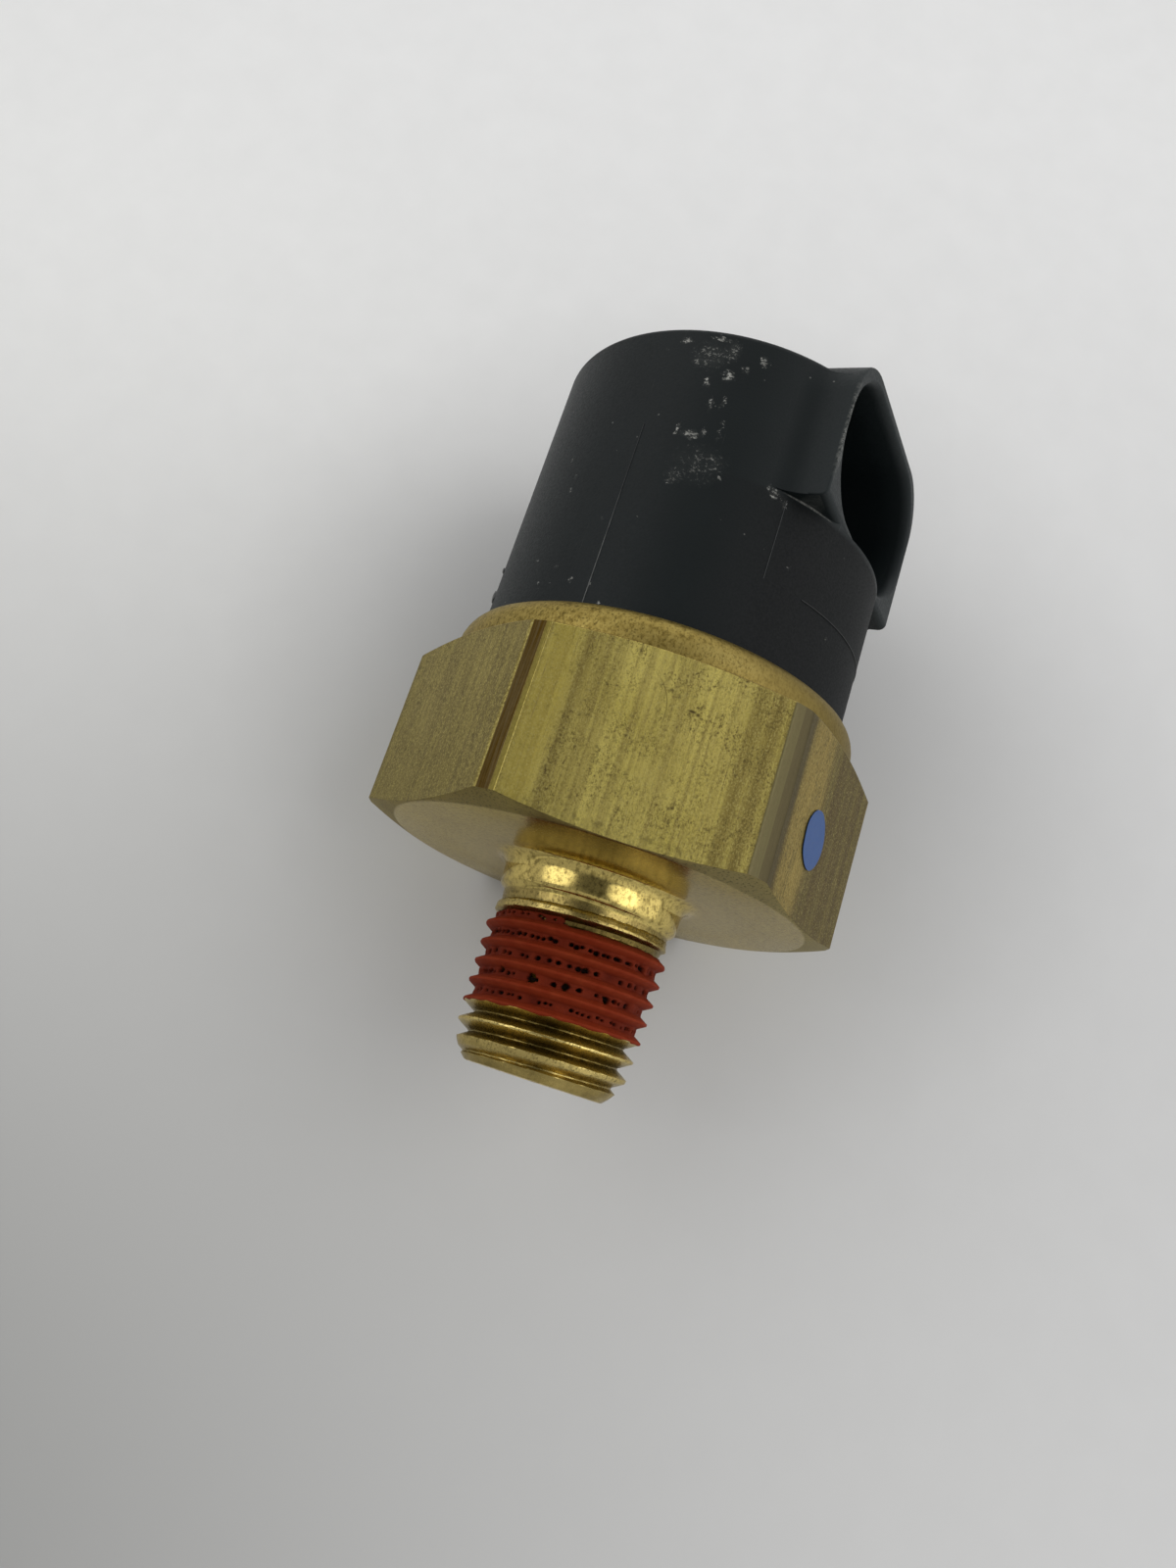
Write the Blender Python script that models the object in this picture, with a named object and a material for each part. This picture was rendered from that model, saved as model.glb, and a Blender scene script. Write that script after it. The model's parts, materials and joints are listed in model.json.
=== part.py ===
# Pressure switch: brass hexagon body with a tapered pipe thread, a crimped black housing with a
# side-entry connector socket, and the diaphragm, piston, spring and changeover contacts inside.
# Metres, +Z up along the thread axis, origin where the axis meets the underside of the hexagon.
# +X is the direction that the connector socket faces.

import bpy
import bmesh
from math import cos, sin, tan, pi, radians, sqrt, hypot
from mathutils import Vector

MM = 0.001

# Clearances
SEAT_GAP = 0.3 * MM        # between pieces that rest on each other
SIDE_GAP = 0.3 * MM        # round a piece in its bore
RUN_GAP = 0.1 * MM         # round the piston in its guide
FILM_GAP = 0.06 * MM       # under the sealant and the paint dot

# Hexagon body
HEX_AF = 31.75 * MM
CORNER_TRIM = 0.43 * MM    # how far the turned corners lie inside the sharp ones
FACE_INSET = 0.25 * MM     # of the turned underside, inside the flats
HEX_TOP = 12.35 * MM       # where the corner lands end
LOW_CHAMFER = radians(16)
TOP_CHAMFER = radians(16.5)
COLLAR_STEP = 0.275 * MM   # of the collar, inside the flats
COLLAR_WALL = 0.6 * MM
COLLAR_HEIGHT = 2.45 * MM  # above the top chamfer
LIP_REACH = 1.25 * MM      # how far the rolled lip comes in from the collar
LIP_THICKNESS = 1.2 * MM
LIP_EDGE = 0.4 * MM        # that the lip drops towards its inner edge
CUP_FLOOR = 3.0 * MM
STEP_WIDTH = 1.8 * MM      # of the ledge that the housing stands on
RECESS_R = 6.5 * MM
RECESS_DEPTH = 1.0 * MM
PORT_R = 2.2 * MM

# Pipe thread and neck
THREAD_PITCH = 1.4111 * MM # 18 threads to the inch
THREAD_TAPER = 1 / 32
THREAD_CREST_R = 6.66 * MM # at the gauge height below
THREAD_GAUGE_Z = -5.4 * MM
THREAD_DEPTH = 0.95 * MM
THREAD_TOP = -3.9 * MM
THREAD_START = 151         # degrees clockwise from +X, seen from the housing, to the start of the ridge
THREAD_RUNOUT = 0.75 * MM  # from the end of the ridge to the tip of the stem
THREAD_BURY = 0.24 * MM    # of the ridge in the stem
THREAD_ROOT_LAND = 0.11 * MM
THREAD_CREST_LAND = 0.14 * MM
STEM_TIP = -15.0 * MM
TIP_CHAMFER = 0.5 * MM
NECK_R = 6.8 * MM
NECK_FILLET = 0.7 * MM
NECK_END = -2.4 * MM
RELIEF_R = 6.1 * MM
RELIEF_END = -3.4 * MM

# Sealant on the thread
SEALANT_DROP = 0.65 * MM   # from the start of the thread
SEALANT_LENGTH = 6.21 * MM
SEALANT_FLANK = 0.2 * MM
SEALANT_CREST = 0.08 * MM
SEALANT_SPLIT = 0.17 * MM  # between one turn of the film and the next

# Paint dot on a wrench flat
DOT_R = 2.1 * MM
DOT_EDGE = 0.22 * MM
DOT_THICKNESS = 0.15 * MM
DOT_Y = -1.9 * MM
DOT_Z = 5.7 * MM

# Diaphragm and its seal
RING_R = 10.3 * MM
RING_WIRE = 1.0 * MM
RING_GROOVE_SIDE = 0.4 * MM
DIAPHRAGM_THICKNESS = 0.3 * MM
DIAPHRAGM_RISE = 0.6 * MM
DIAPHRAGM_FLAT_R = 4.8 * MM
DIAPHRAGM_SLOPE = 1.6 * MM

# Piston, its guide and its spring
PISTON_TRAVEL = 0.4 * MM
STEM_R = 2.5 * MM
FLANGE_R = 5.2 * MM
FLANGE_THICKNESS = 1.0 * MM
SPINDLE_R = 2.2 * MM       # above the flange, inside the spring
PAD_R = 5.0 * MM
PAD_THICKNESS = 1.1 * MM
GUIDE_PLATE = 2.0 * MM     # thickness round the piston
PAD_ROOM = 1.25 * MM       # free space beside the pad and the diaphragm's hill
SPRING_WIRE = 1.0 * MM
SPRING_R = 4.0 * MM
SPRING_LENGTH = 6.4 * MM
SPRING_TURNS = 3.6
ADJUSTER_HEIGHT = 2.0 * MM
ADJUSTER_SLOT = 1.2 * MM
ADJUSTER_SLOT_DEPTH = 1.0 * MM
CAGE_BORE_R = 6.2 * MM
CAGE_WALL = 1.6 * MM
CAGE_FLANGE = 1.4 * MM

# Insulating base, contacts and terminals
BASE_THICKNESS = 2.4 * MM
PIN_R = 1.4 * MM
PIN_TIP_R = 0.84 * MM
PIN_TIP = 0.47 * MM
TERMINAL_PITCH = 5.2 * MM
BLADE_WIDTH = 2.8 * MM
BLADE_THICKNESS = 0.8 * MM
BLADE_TIP_TAPER = 1.2 * MM
BLADE_TIP_THICKNESS = 0.27 * MM
STRIP_THICKNESS = 0.6 * MM
STRIP_MARGIN = 0.2 * MM    # of a strip beyond its blade's width
STRIP_END = 2.8 * MM       # length of the cross arm that carries a contact
STRIP_INSET = 0.9 * MM     # of the strips' corners, inside the chamber
ARM_SEAT = 0.2 * MM        # between the arm and the strip that carries it
ARM_WIDTH = 3.2 * MM
ARM_THICKNESS = 0.3 * MM
ARM_ROUND = 0.8 * MM
RIVET_R = 0.6 * MM
RIVET_HEAD_R = 1.15 * MM
RIVET_FACE_R = 0.8 * MM
RIVET_HEAD = 0.45 * MM
RIVET_SINK = 0.6 * MM      # of its hole, in the base
CONTACT_R = 1.2 * MM
CONTACT_FACE_R = 0.84 * MM
CONTACT_HEIGHT = 0.5 * MM
CONTACT_SHANK_R = 0.6 * MM
CONTACT_GAP = 0.1 * MM     # between closed contacts

# Housing and socket
HOUSING_GAP = 0.13 * MM    # inside the rolled lip
HOUSING_WALL = 2.0 * MM
HOUSING_DRAFT = 0.04 * MM  # that the outside draws in towards the top
TOP_WALL = 2.4 * MM        # over the potting pocket
TOP_ROUND = 0.5 * MM
FLANGE_SHELF = 2.5 * MM    # height of the flange under the rolled lip
SHOULDER = 1.3 * MM        # that holds the insulating base down
ROOF_THICKNESS = 1.5 * MM
SEAL_WIRE = 0.84 * MM
SEAL_NOTCH = 1.0 * MM
SOCKET_FRONT = 13.1 * MM
SOCKET_BACK_WALL = 1.8 * MM
SOCKET_HALF_WIDTH = 9.3 * MM
SOCKET_HEIGHT = 10.4 * MM
SOCKET_ROUND = 4.6 * MM
SOCKET_SIDE_WALL = 0.55 * MM
SOCKET_TOP_WALL = 1.0 * MM
SOCKET_LOW_WALL = 1.1 * MM
BOSS_ROUND = 4.2 * MM
BOSS_LOW_ROUND = 0.5 * MM
BLADE_SETBACK = 4.6 * MM   # of the blade tips from the socket's mouth
SLOT_GAP = 0.2 * MM
POCKET_SIDE = 1.2 * MM
POCKET_BEHIND = 1.4 * MM   # of the risers
POCKET_AHEAD = 1.45 * MM   # of the risers
POCKET_ABOVE = 2.0 * MM
POTTING_HEIGHT = 3.3 * MM

# Facets
BODY_SIDES = 48
INNER_SIDES = 32
SMALL_SIDES = 24
TURN_STEPS = 24            # to one turn of the thread
CURL_POINTS = 9            # to one curl of the spring
HOLE_SIDES = 12
ARC_STEPS = 4

# Sizes that follow from the ones above
hex_in_r = HEX_AF / 2
hex_point_r = HEX_AF / sqrt(3)
corner_r = hex_point_r - CORNER_TRIM
face_r = hex_in_r - FACE_INSET
land_low = (corner_r - face_r) * tan(LOW_CHAMFER)
collar_r = hex_in_r - COLLAR_STEP
collar_base = HEX_TOP + (corner_r - collar_r) * tan(TOP_CHAMFER)
collar_top = collar_base + COLLAR_HEIGHT
counterbore_r = collar_r - COLLAR_WALL
lip_r = collar_r - LIP_REACH
lip_under = collar_top - LIP_THICKNESS
cup_r = counterbore_r - STEP_WIDTH
cup_step = lip_under - FLANGE_SHELF - 2 * SEAT_GAP

ring_groove_half = RING_WIRE / 2 + RING_GROOVE_SIDE
ring_groove_depth = RING_WIRE + SEAT_GAP / 2
diaphragm_z = CUP_FLOOR + SEAT_GAP
diaphragm_r = cup_r - SIDE_GAP
guide_z = diaphragm_z + DIAPHRAGM_THICKNESS + SEAT_GAP
guide_r = cup_r - SIDE_GAP
pad_z = diaphragm_z + DIAPHRAGM_RISE + DIAPHRAGM_THICKNESS + SEAT_GAP
pad_room_top = pad_z + PAD_THICKNESS + PISTON_TRAVEL + SEAT_GAP
guide_top = pad_room_top + GUIDE_PLATE
piston_z = guide_top + SEAT_GAP            # underside of the piston's flange
stem_foot = pad_z + PAD_THICKNESS + SEAT_GAP
flange_top = piston_z + FLANGE_THICKNESS
spring_z = flange_top + PISTON_TRAVEL + CONTACT_GAP
adjuster_z = spring_z + SPRING_LENGTH + SEAT_GAP
cage_z = guide_top + SEAT_GAP
cage_top = adjuster_z + ADJUSTER_HEIGHT
adjuster_r = CAGE_BORE_R - SIDE_GAP
spindle_top = cage_top - SEAT_GAP
base_z = cage_top + SEAT_GAP
base_top = base_z + BASE_THICKNESS

housing_r = lip_r - HOUSING_GAP
housing_top_r = housing_r - HOUSING_DRAFT
housing_z = cup_step + SEAT_GAP
flange_r = counterbore_r - SIDE_GAP
bore_r = housing_r - HOUSING_WALL
base_r = bore_r - SIDE_GAP
cage_flange_r = bore_r - SIDE_GAP
chamber_r = bore_r - SHOULDER
shoulder_z = base_top + SEAT_GAP

strip_width = BLADE_WIDTH + STRIP_MARGIN
reach = sqrt((chamber_r - STRIP_INSET) ** 2 - (TERMINAL_PITCH + strip_width / 2) ** 2)
riser_front = BLADE_THICKNESS - reach
rivet_x = (riser_front - PIN_R - SIDE_GAP) / 2    # midway between the risers and the pin's hole
contact_x = reach - STRIP_END / 2
arm_lever = -rivet_x

low_strip_z = base_top + SEAT_GAP
low_contact_z = low_strip_z + STRIP_THICKNESS + CONTACT_GAP
arm_contact_z = low_contact_z + CONTACT_HEIGHT + CONTACT_GAP
arm_z = arm_contact_z + CONTACT_HEIGHT - CONTACT_GAP
common_strip_z = arm_z - ARM_SEAT - STRIP_THICKNESS
pedestal_top = common_strip_z - SEAT_GAP
arm_contact_top = arm_z + ARM_THICKNESS + CONTACT_HEIGHT
contact_stroke = PISTON_TRAVEL / arm_lever * (contact_x - rivet_x)
high_contact_z = arm_contact_top + contact_stroke + CONTACT_GAP
high_strip_z = high_contact_z + CONTACT_HEIGHT + CONTACT_GAP
roof_z = high_strip_z + STRIP_THICKNESS + 2 * SEAT_GAP
pin_z = spindle_top + SEAT_GAP
pin_top = arm_z - SEAT_GAP

socket_floor = roof_z + ROOF_THICKNESS
socket_roof = socket_floor + SOCKET_HEIGHT
boss_half_width = SOCKET_HALF_WIDTH + SOCKET_SIDE_WALL
boss_floor = socket_floor - SOCKET_LOW_WALL
boss_top = socket_roof + SOCKET_TOP_WALL
blade_z = (socket_floor + socket_roof) / 2
blade_tip = SOCKET_FRONT - BLADE_SETBACK
pocket_back = -reach - POCKET_BEHIND
pocket_front = riser_front + POCKET_AHEAD
socket_back = pocket_front + SOCKET_BACK_WALL
pocket_half_width = TERMINAL_PITCH + BLADE_WIDTH / 2 + POCKET_SIDE
pocket_top = blade_z + POCKET_ABOVE
housing_top = pocket_top + TOP_WALL

thread_half = (THREAD_PITCH - THREAD_ROOT_LAND) / 2
crest_half = THREAD_CREST_LAND / 2
thread_turns = (THREAD_TOP - STEM_TIP - THREAD_RUNOUT) / THREAD_PITCH


def clear_scene():
    for thing in list(bpy.data.objects):
        bpy.data.objects.remove(thing, do_unlink=True)


def finish(name, colour, roughness, metallic):
    material = bpy.data.materials.new(name)
    material.use_nodes = True
    shader = material.node_tree.nodes["Principled BSDF"]
    shader.inputs["Base Color"].default_value = (*colour, 1)
    shader.inputs["Roughness"].default_value = roughness
    shader.inputs["Metallic"].default_value = metallic
    return material


def empty(name, place, parent=None):
    holder = bpy.data.objects.new(name, None)
    holder.location = place
    holder.parent = parent
    bpy.context.scene.collection.objects.link(holder)
    return holder


# Puts a mesh in the scene under an empty; place is in the part's own frame
def place_piece(name, bm, material, parent, place=(0, 0, 0)):
    bmesh.ops.recalc_face_normals(bm, faces=bm.faces)
    mesh = bpy.data.meshes.new(name)
    bm.to_mesh(mesh)
    bm.free()
    mesh.shade_smooth()
    mesh.set_sharp_from_angle(angle=radians(30))
    mesh.materials.append(material)
    piece = bpy.data.objects.new(name, mesh)
    piece.parent = parent
    piece.location = Vector(place) - parent.matrix_basis.translation
    bpy.context.scene.collection.objects.link(piece)
    return piece


def arc(centre_u, centre_v, radius, start, end, steps=ARC_STEPS):
    angles = [start + (end - start) * i / steps for i in range(steps + 1)]
    return [(centre_u + radius * cos(a), centre_v + radius * sin(a)) for a in angles]


# A closed outline of radius and height, turned about Z
def turn(profile, sides):
    bm = bmesh.new()
    points = [bm.verts.new((r, 0, z)) for r, z in profile]
    edges = [bm.edges.new((points[i - 1], points[i])) for i in range(len(points))]
    bmesh.ops.spin(bm, geom=points + edges, axis=(0, 0, 1), cent=(0, 0, 0), angle=2 * pi,
                   steps=sides, use_merge=True)
    on_axis = [v for v in bm.verts if hypot(v.co.x, v.co.y) < 1e-7]
    bmesh.ops.remove_doubles(bm, verts=on_axis, dist=1e-7)
    seam = [e for e in bm.edges if len(e.link_faces) == 0]
    bmesh.ops.delete(bm, geom=seam, context="EDGES")
    return bm


# A closed outline pushed along one axis: the outline's two numbers are the other two axes in order
def push(outline, axis, start, end):
    bm = bmesh.new()

    def at(point, depth):
        u, v = point
        return {"X": (depth, u, v), "Y": (u, depth, v), "Z": (u, v, depth)}[axis]

    face = bm.faces.new([bm.verts.new(at(p, start)) for p in outline])
    made = bmesh.ops.extrude_face_region(bm, geom=[face])
    moved = [g for g in made["geom"] if isinstance(g, bmesh.types.BMVert)]
    bmesh.ops.translate(bm, verts=moved, vec=at((0, 0), end - start))
    return bm


# The corners of an even-sided outline round a point
def round_hole(centre_u, centre_v, radius, sides=HOLE_SIDES, start=0):
    return arc(centre_u, centre_v, radius, start, start + 2 * pi * (sides - 1) / sides, sides - 1)


def rectangle(low_u, high_u, low_v, high_v):
    return [(low_u, low_v), (high_u, low_v), (high_u, high_v), (low_u, high_v)]


def rounded_rectangle(low_u, high_u, low_v, high_v, low_round, high_round):
    return (arc(high_u - low_round, low_v + low_round, low_round, -pi / 2, 0)
            + arc(high_u - high_round, high_v - high_round, high_round, 0, pi / 2)
            + arc(low_u + high_round, high_v - high_round, high_round, pi / 2, pi)
            + arc(low_u + low_round, low_v + low_round, low_round, pi, 3 * pi / 2))


# Cuts, joins or keeps the common part of a piece with a helper that doesn't count as a piece
def combine(piece, operation, bm):
    bmesh.ops.recalc_face_normals(bm, faces=bm.faces)
    mesh = bpy.data.meshes.new(f"{piece.name}_tool")
    bm.to_mesh(mesh)
    bm.free()
    tool = bpy.data.objects.new(f"{piece.name}_tool", mesh)
    tool.parent = piece.parent
    tool.location = -piece.parent.matrix_basis.translation
    tool.hide_render = True
    tool.display_type = "WIRE"
    bpy.context.scene.collection.objects.link(tool)
    step = piece.modifiers.new(operation.lower(), "BOOLEAN")
    step.operation = operation
    step.solver = "EXACT"
    step.object = tool


def root_r(z):
    return THREAD_CREST_R + THREAD_TAPER * (z - THREAD_GAUGE_Z) - THREAD_DEPTH


# A closed strip of constant section wound along the thread; section(rise) gives axial and radial
# offsets from the root line, and rise runs from 0 to 1 where the thread fades in and out
def wind(section, first_turn, turns):
    steps = round(turns * TURN_STEPS)
    bm = bmesh.new()
    rings = []
    for i in range(steps + 1):
        turn_now = first_turn + i / TURN_STEPS
        angle = radians(THREAD_START) + 2 * pi * turn_now
        middle = THREAD_TOP - turn_now * THREAD_PITCH
        rise = min(1, 2 * turn_now, 2 * (thread_turns - turn_now))
        ring = []
        for along, out in section(rise):
            r = root_r(middle) + out
            ring.append(bm.verts.new((r * cos(angle), -r * sin(angle), middle + along)))
        rings.append(ring)
    for before, after in zip(rings, rings[1:]):
        for j in range(len(before)):
            bm.faces.new((before[j - 1], before[j], after[j], after[j - 1]))
    bm.faces.new(rings[0])
    bm.faces.new(rings[-1])
    return bm


# Height of the ridge where it fades in and out; it ends half buried
def crest_height(rise):
    return THREAD_DEPTH * rise - THREAD_BURY / 2 * (1 - rise)


def ridge_section(rise):
    crest = crest_height(rise)
    return [(-thread_half, -THREAD_BURY), (-thread_half, 0), (-crest_half, crest),
            (crest_half, crest), (thread_half, 0), (thread_half, -THREAD_BURY)]


def film_section(rise):
    edge = (THREAD_PITCH - SEALANT_SPLIT) / 2
    crest = crest_height(rise)
    slope = crest / (thread_half - crest_half)

    def over_flank(offset):
        return slope * (thread_half - edge) + offset * hypot(1, slope)

    inner = over_flank(FILM_GAP)
    outer = over_flank(FILM_GAP + SEALANT_FLANK)
    inner_crest = crest + FILM_GAP
    outer_crest = inner_crest + SEALANT_CREST
    inner_half = crest_half + FILM_GAP
    outer_half = inner_half + SEALANT_FLANK
    return [(-edge, inner), (-edge, outer), (-outer_half, outer_crest), (outer_half, outer_crest),
            (edge, outer), (edge, inner), (inner_half, inner_crest), (-inner_half, inner_crest)]


def body_profile():
    tip_r = root_r(STEM_TIP + TIP_CHAMFER)
    stem = [(PORT_R, STEM_TIP), (tip_r - TIP_CHAMFER, STEM_TIP), (tip_r, STEM_TIP + TIP_CHAMFER),
            (root_r(RELIEF_END), RELIEF_END), (RELIEF_R, RELIEF_END + (NECK_END - RELIEF_END) / 2),
            (NECK_R, NECK_END)]
    neck = arc(NECK_R + NECK_FILLET, -NECK_FILLET, NECK_FILLET, pi, pi / 2)
    hexagon = [(face_r, 0), (corner_r, land_low), (corner_r, HEX_TOP), (collar_r, collar_base)]
    lip = arc(collar_r - LIP_THICKNESS, lip_under, LIP_THICKNESS, 0, pi / 2)
    lip += [(lip_r, collar_top - LIP_EDGE), (lip_r, lip_under)]
    cup = [(counterbore_r, lip_under), (counterbore_r, cup_step), (cup_r, cup_step), (cup_r, CUP_FLOOR)]
    groove_floor = CUP_FLOOR - ring_groove_depth
    groove = [(RING_R + ring_groove_half, CUP_FLOOR), (RING_R + ring_groove_half, groove_floor),
              (RING_R - ring_groove_half, groove_floor), (RING_R - ring_groove_half, CUP_FLOOR)]
    recess = [(RECESS_R, CUP_FLOOR), (RECESS_R, CUP_FLOOR - RECESS_DEPTH),
              (PORT_R, CUP_FLOOR - RECESS_DEPTH)]
    return stem + neck + hexagon + lip + cup + groove + recess


def make_body(rack, brass, sealant, paint):
    body = place_piece("hex_body", turn(body_profile(), BODY_SIDES), brass, rack)
    corners = round_hole(0, 0, hex_point_r, 6, radians(30))
    combine(body, "INTERSECT", push(corners, "Z", STEM_TIP - MM, collar_top + MM))
    combine(body, "UNION", wind(ridge_section, 0, thread_turns))
    film = wind(film_section, SEALANT_DROP / THREAD_PITCH, SEALANT_LENGTH / THREAD_PITCH)
    place_piece("thread_sealant", film, sealant, rack)
    dot = turn([(0, 0), (DOT_R, 0), (DOT_R - DOT_EDGE, DOT_THICKNESS), (0, DOT_THICKNESS)], SMALL_SIDES)
    mark = place_piece("paint_dot", dot, paint, rack, (hex_in_r + FILM_GAP, DOT_Y, DOT_Z))
    mark.rotation_euler = (0, pi / 2, 0)


def ring_profile(radius, wire, sides=8):
    return round_hole(radius, wire / 2, wire / 2, sides)


def make_diaphragm(rack, rubber, film):
    ring_z = CUP_FLOOR - ring_groove_depth + SEAT_GAP / 2
    place_piece("diaphragm_seal", turn(ring_profile(RING_R, RING_WIRE), INNER_SIDES), rubber, rack,
                (0, 0, ring_z))
    hill = DIAPHRAGM_FLAT_R + DIAPHRAGM_SLOPE
    profile = [(0, DIAPHRAGM_RISE), (DIAPHRAGM_FLAT_R, DIAPHRAGM_RISE), (hill, 0), (diaphragm_r, 0),
               (diaphragm_r, DIAPHRAGM_THICKNESS), (hill, DIAPHRAGM_THICKNESS),
               (DIAPHRAGM_FLAT_R, DIAPHRAGM_RISE + DIAPHRAGM_THICKNESS),
               (0, DIAPHRAGM_RISE + DIAPHRAGM_THICKNESS)]
    place_piece("diaphragm", turn(profile, INNER_SIDES), film, rack, (0, 0, diaphragm_z))


def make_piston(rack, slide, steel, brass, ceramic):
    room_r = max(PAD_R, DIAPHRAGM_FLAT_R + DIAPHRAGM_SLOPE) + PAD_ROOM
    guide = [(room_r, guide_z), (guide_r, guide_z), (guide_r, guide_top),
             (STEM_R + RUN_GAP, guide_top), (STEM_R + RUN_GAP, pad_room_top), (room_r, pad_room_top)]
    place_piece("piston_guide", turn(guide, INNER_SIDES), brass, rack)
    pad = [(0, pad_z), (PAD_R, pad_z), (PAD_R, pad_z + PAD_THICKNESS), (0, pad_z + PAD_THICKNESS)]
    place_piece("diaphragm_pad", lowered(turn(pad, INNER_SIDES), piston_z), steel, slide, (0, 0, piston_z))
    piston = [(0, stem_foot), (STEM_R, stem_foot), (STEM_R, piston_z), (FLANGE_R, piston_z),
              (FLANGE_R, flange_top), (SPINDLE_R, flange_top), (SPINDLE_R, spindle_top), (0, spindle_top)]
    place_piece("piston", lowered(turn(piston, INNER_SIDES), piston_z), steel, slide, (0, 0, piston_z))
    pin = [(0, pin_z), (PIN_R, pin_z), (PIN_R, pin_top - PIN_TIP), (PIN_TIP_R, pin_top), (0, pin_top)]
    place_piece("push_pin", lowered(turn(pin, SMALL_SIDES), piston_z), ceramic, slide, (0, 0, piston_z))


# Moves a mesh so that the given height becomes its own origin
def lowered(bm, height):
    bmesh.ops.translate(bm, verts=bm.verts, vec=(0, 0, -height))
    return bm


def make_spring(rack, steel, brass):
    rise = SPRING_LENGTH - SPRING_WIRE
    count = round(SPRING_TURNS * CURL_POINTS)
    path = [Vector((SPRING_R * cos(2 * pi * i / CURL_POINTS), SPRING_R * sin(2 * pi * i / CURL_POINTS),
                    spring_z + SPRING_WIRE / 2 + rise * i / count)) for i in range(count + 1)]
    apart = min((path[i] - path[j]).length for i in range(count + 1)
                for j in range(i + CURL_POINTS - 2, count + 1))
    print(f"least gap between the spring's curls {(apart - SPRING_WIRE) / MM:.2f} mm")
    curve = bpy.data.curves.new("range_spring", "CURVE")
    curve.dimensions = "3D"
    curve.bevel_depth = SPRING_WIRE / 2
    curve.bevel_resolution = 1
    curve.use_fill_caps = True
    curve.materials.append(steel)
    line = curve.splines.new("POLY")
    line.points.add(count)
    for point, place in zip(line.points, path):
        point.co = (*place, 1)
    spring = bpy.data.objects.new("range_spring", curve)
    spring.parent = rack
    bpy.context.scene.collection.objects.link(spring)

    hole_r = SPINDLE_R + SIDE_GAP
    adjuster = [(hole_r, adjuster_z), (adjuster_r, adjuster_z), (adjuster_r, cage_top), (hole_r, cage_top)]
    nut = place_piece("spring_adjuster", turn(adjuster, INNER_SIDES), brass, rack)
    slot = rectangle(-CAGE_BORE_R, CAGE_BORE_R, -ADJUSTER_SLOT / 2, ADJUSTER_SLOT / 2)
    combine(nut, "DIFFERENCE", push(slot, "Z", cage_top - ADJUSTER_SLOT_DEPTH, cage_top + MM))
    cage_r = CAGE_BORE_R + CAGE_WALL
    cage = [(CAGE_BORE_R, cage_z), (cage_flange_r, cage_z), (cage_flange_r, cage_z + CAGE_FLANGE),
            (cage_r, cage_z + CAGE_FLANGE), (cage_r, cage_top), (CAGE_BORE_R, cage_top)]
    place_piece("spring_cage", turn(cage, INNER_SIDES), brass, rack)


def make_base(rack, insulator):
    hole_r = PIN_R + SIDE_GAP
    plate = [(hole_r, base_z), (base_r, base_z), (base_r, base_top), (hole_r, base_top)]
    base = place_piece("contact_base", turn(plate, INNER_SIDES), insulator, rack)
    sunk = base_top - RIVET_SINK
    pedestal_half = RIVET_HEAD_R
    pedestal = rectangle(rivet_x - pedestal_half, rivet_x + pedestal_half, -pedestal_half, pedestal_half)
    combine(base, "UNION", push(pedestal, "Z", sunk, pedestal_top))
    rivet_hole = round_hole(rivet_x, 0, RIVET_R + SIDE_GAP)
    combine(base, "DIFFERENCE", push(rivet_hole, "Z", sunk, pedestal_top + MM))
    post_y = TERMINAL_PITCH
    post_half = BLADE_WIDTH / 2 - SIDE_GAP
    post = rectangle(contact_x - post_half, contact_x + post_half, post_y - post_half, post_y + post_half)
    combine(base, "UNION", push(post, "Z", sunk, high_strip_z - SEAT_GAP))


# The bent riser and blade of a terminal, seen from the side
def hook_outline(foot_z):
    back = -reach
    top = blade_z + BLADE_THICKNESS / 2
    under = blade_z - BLADE_THICKNESS / 2
    tip_half = BLADE_TIP_THICKNESS / 2
    return [(back, foot_z), (riser_front, foot_z), (riser_front, under),
            (blade_tip - BLADE_TIP_TAPER, under), (blade_tip, blade_z - tip_half),
            (blade_tip, blade_z + tip_half), (blade_tip - BLADE_TIP_TAPER, top), (back, top)]


def make_terminal(name, y, strip, strip_z, rack, metal):
    tail = -reach - STRIP_MARGIN / 2
    outline = [(max(u, tail), v) for u, v in strip]
    piece = place_piece(name, push(outline, "Z", strip_z, strip_z + STRIP_THICKNESS), metal, rack)
    hook = push(hook_outline(strip_z + STRIP_THICKNESS / 2), "Y", y - BLADE_WIDTH / 2, y + BLADE_WIDTH / 2)
    combine(piece, "UNION", hook)
    return piece


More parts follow.
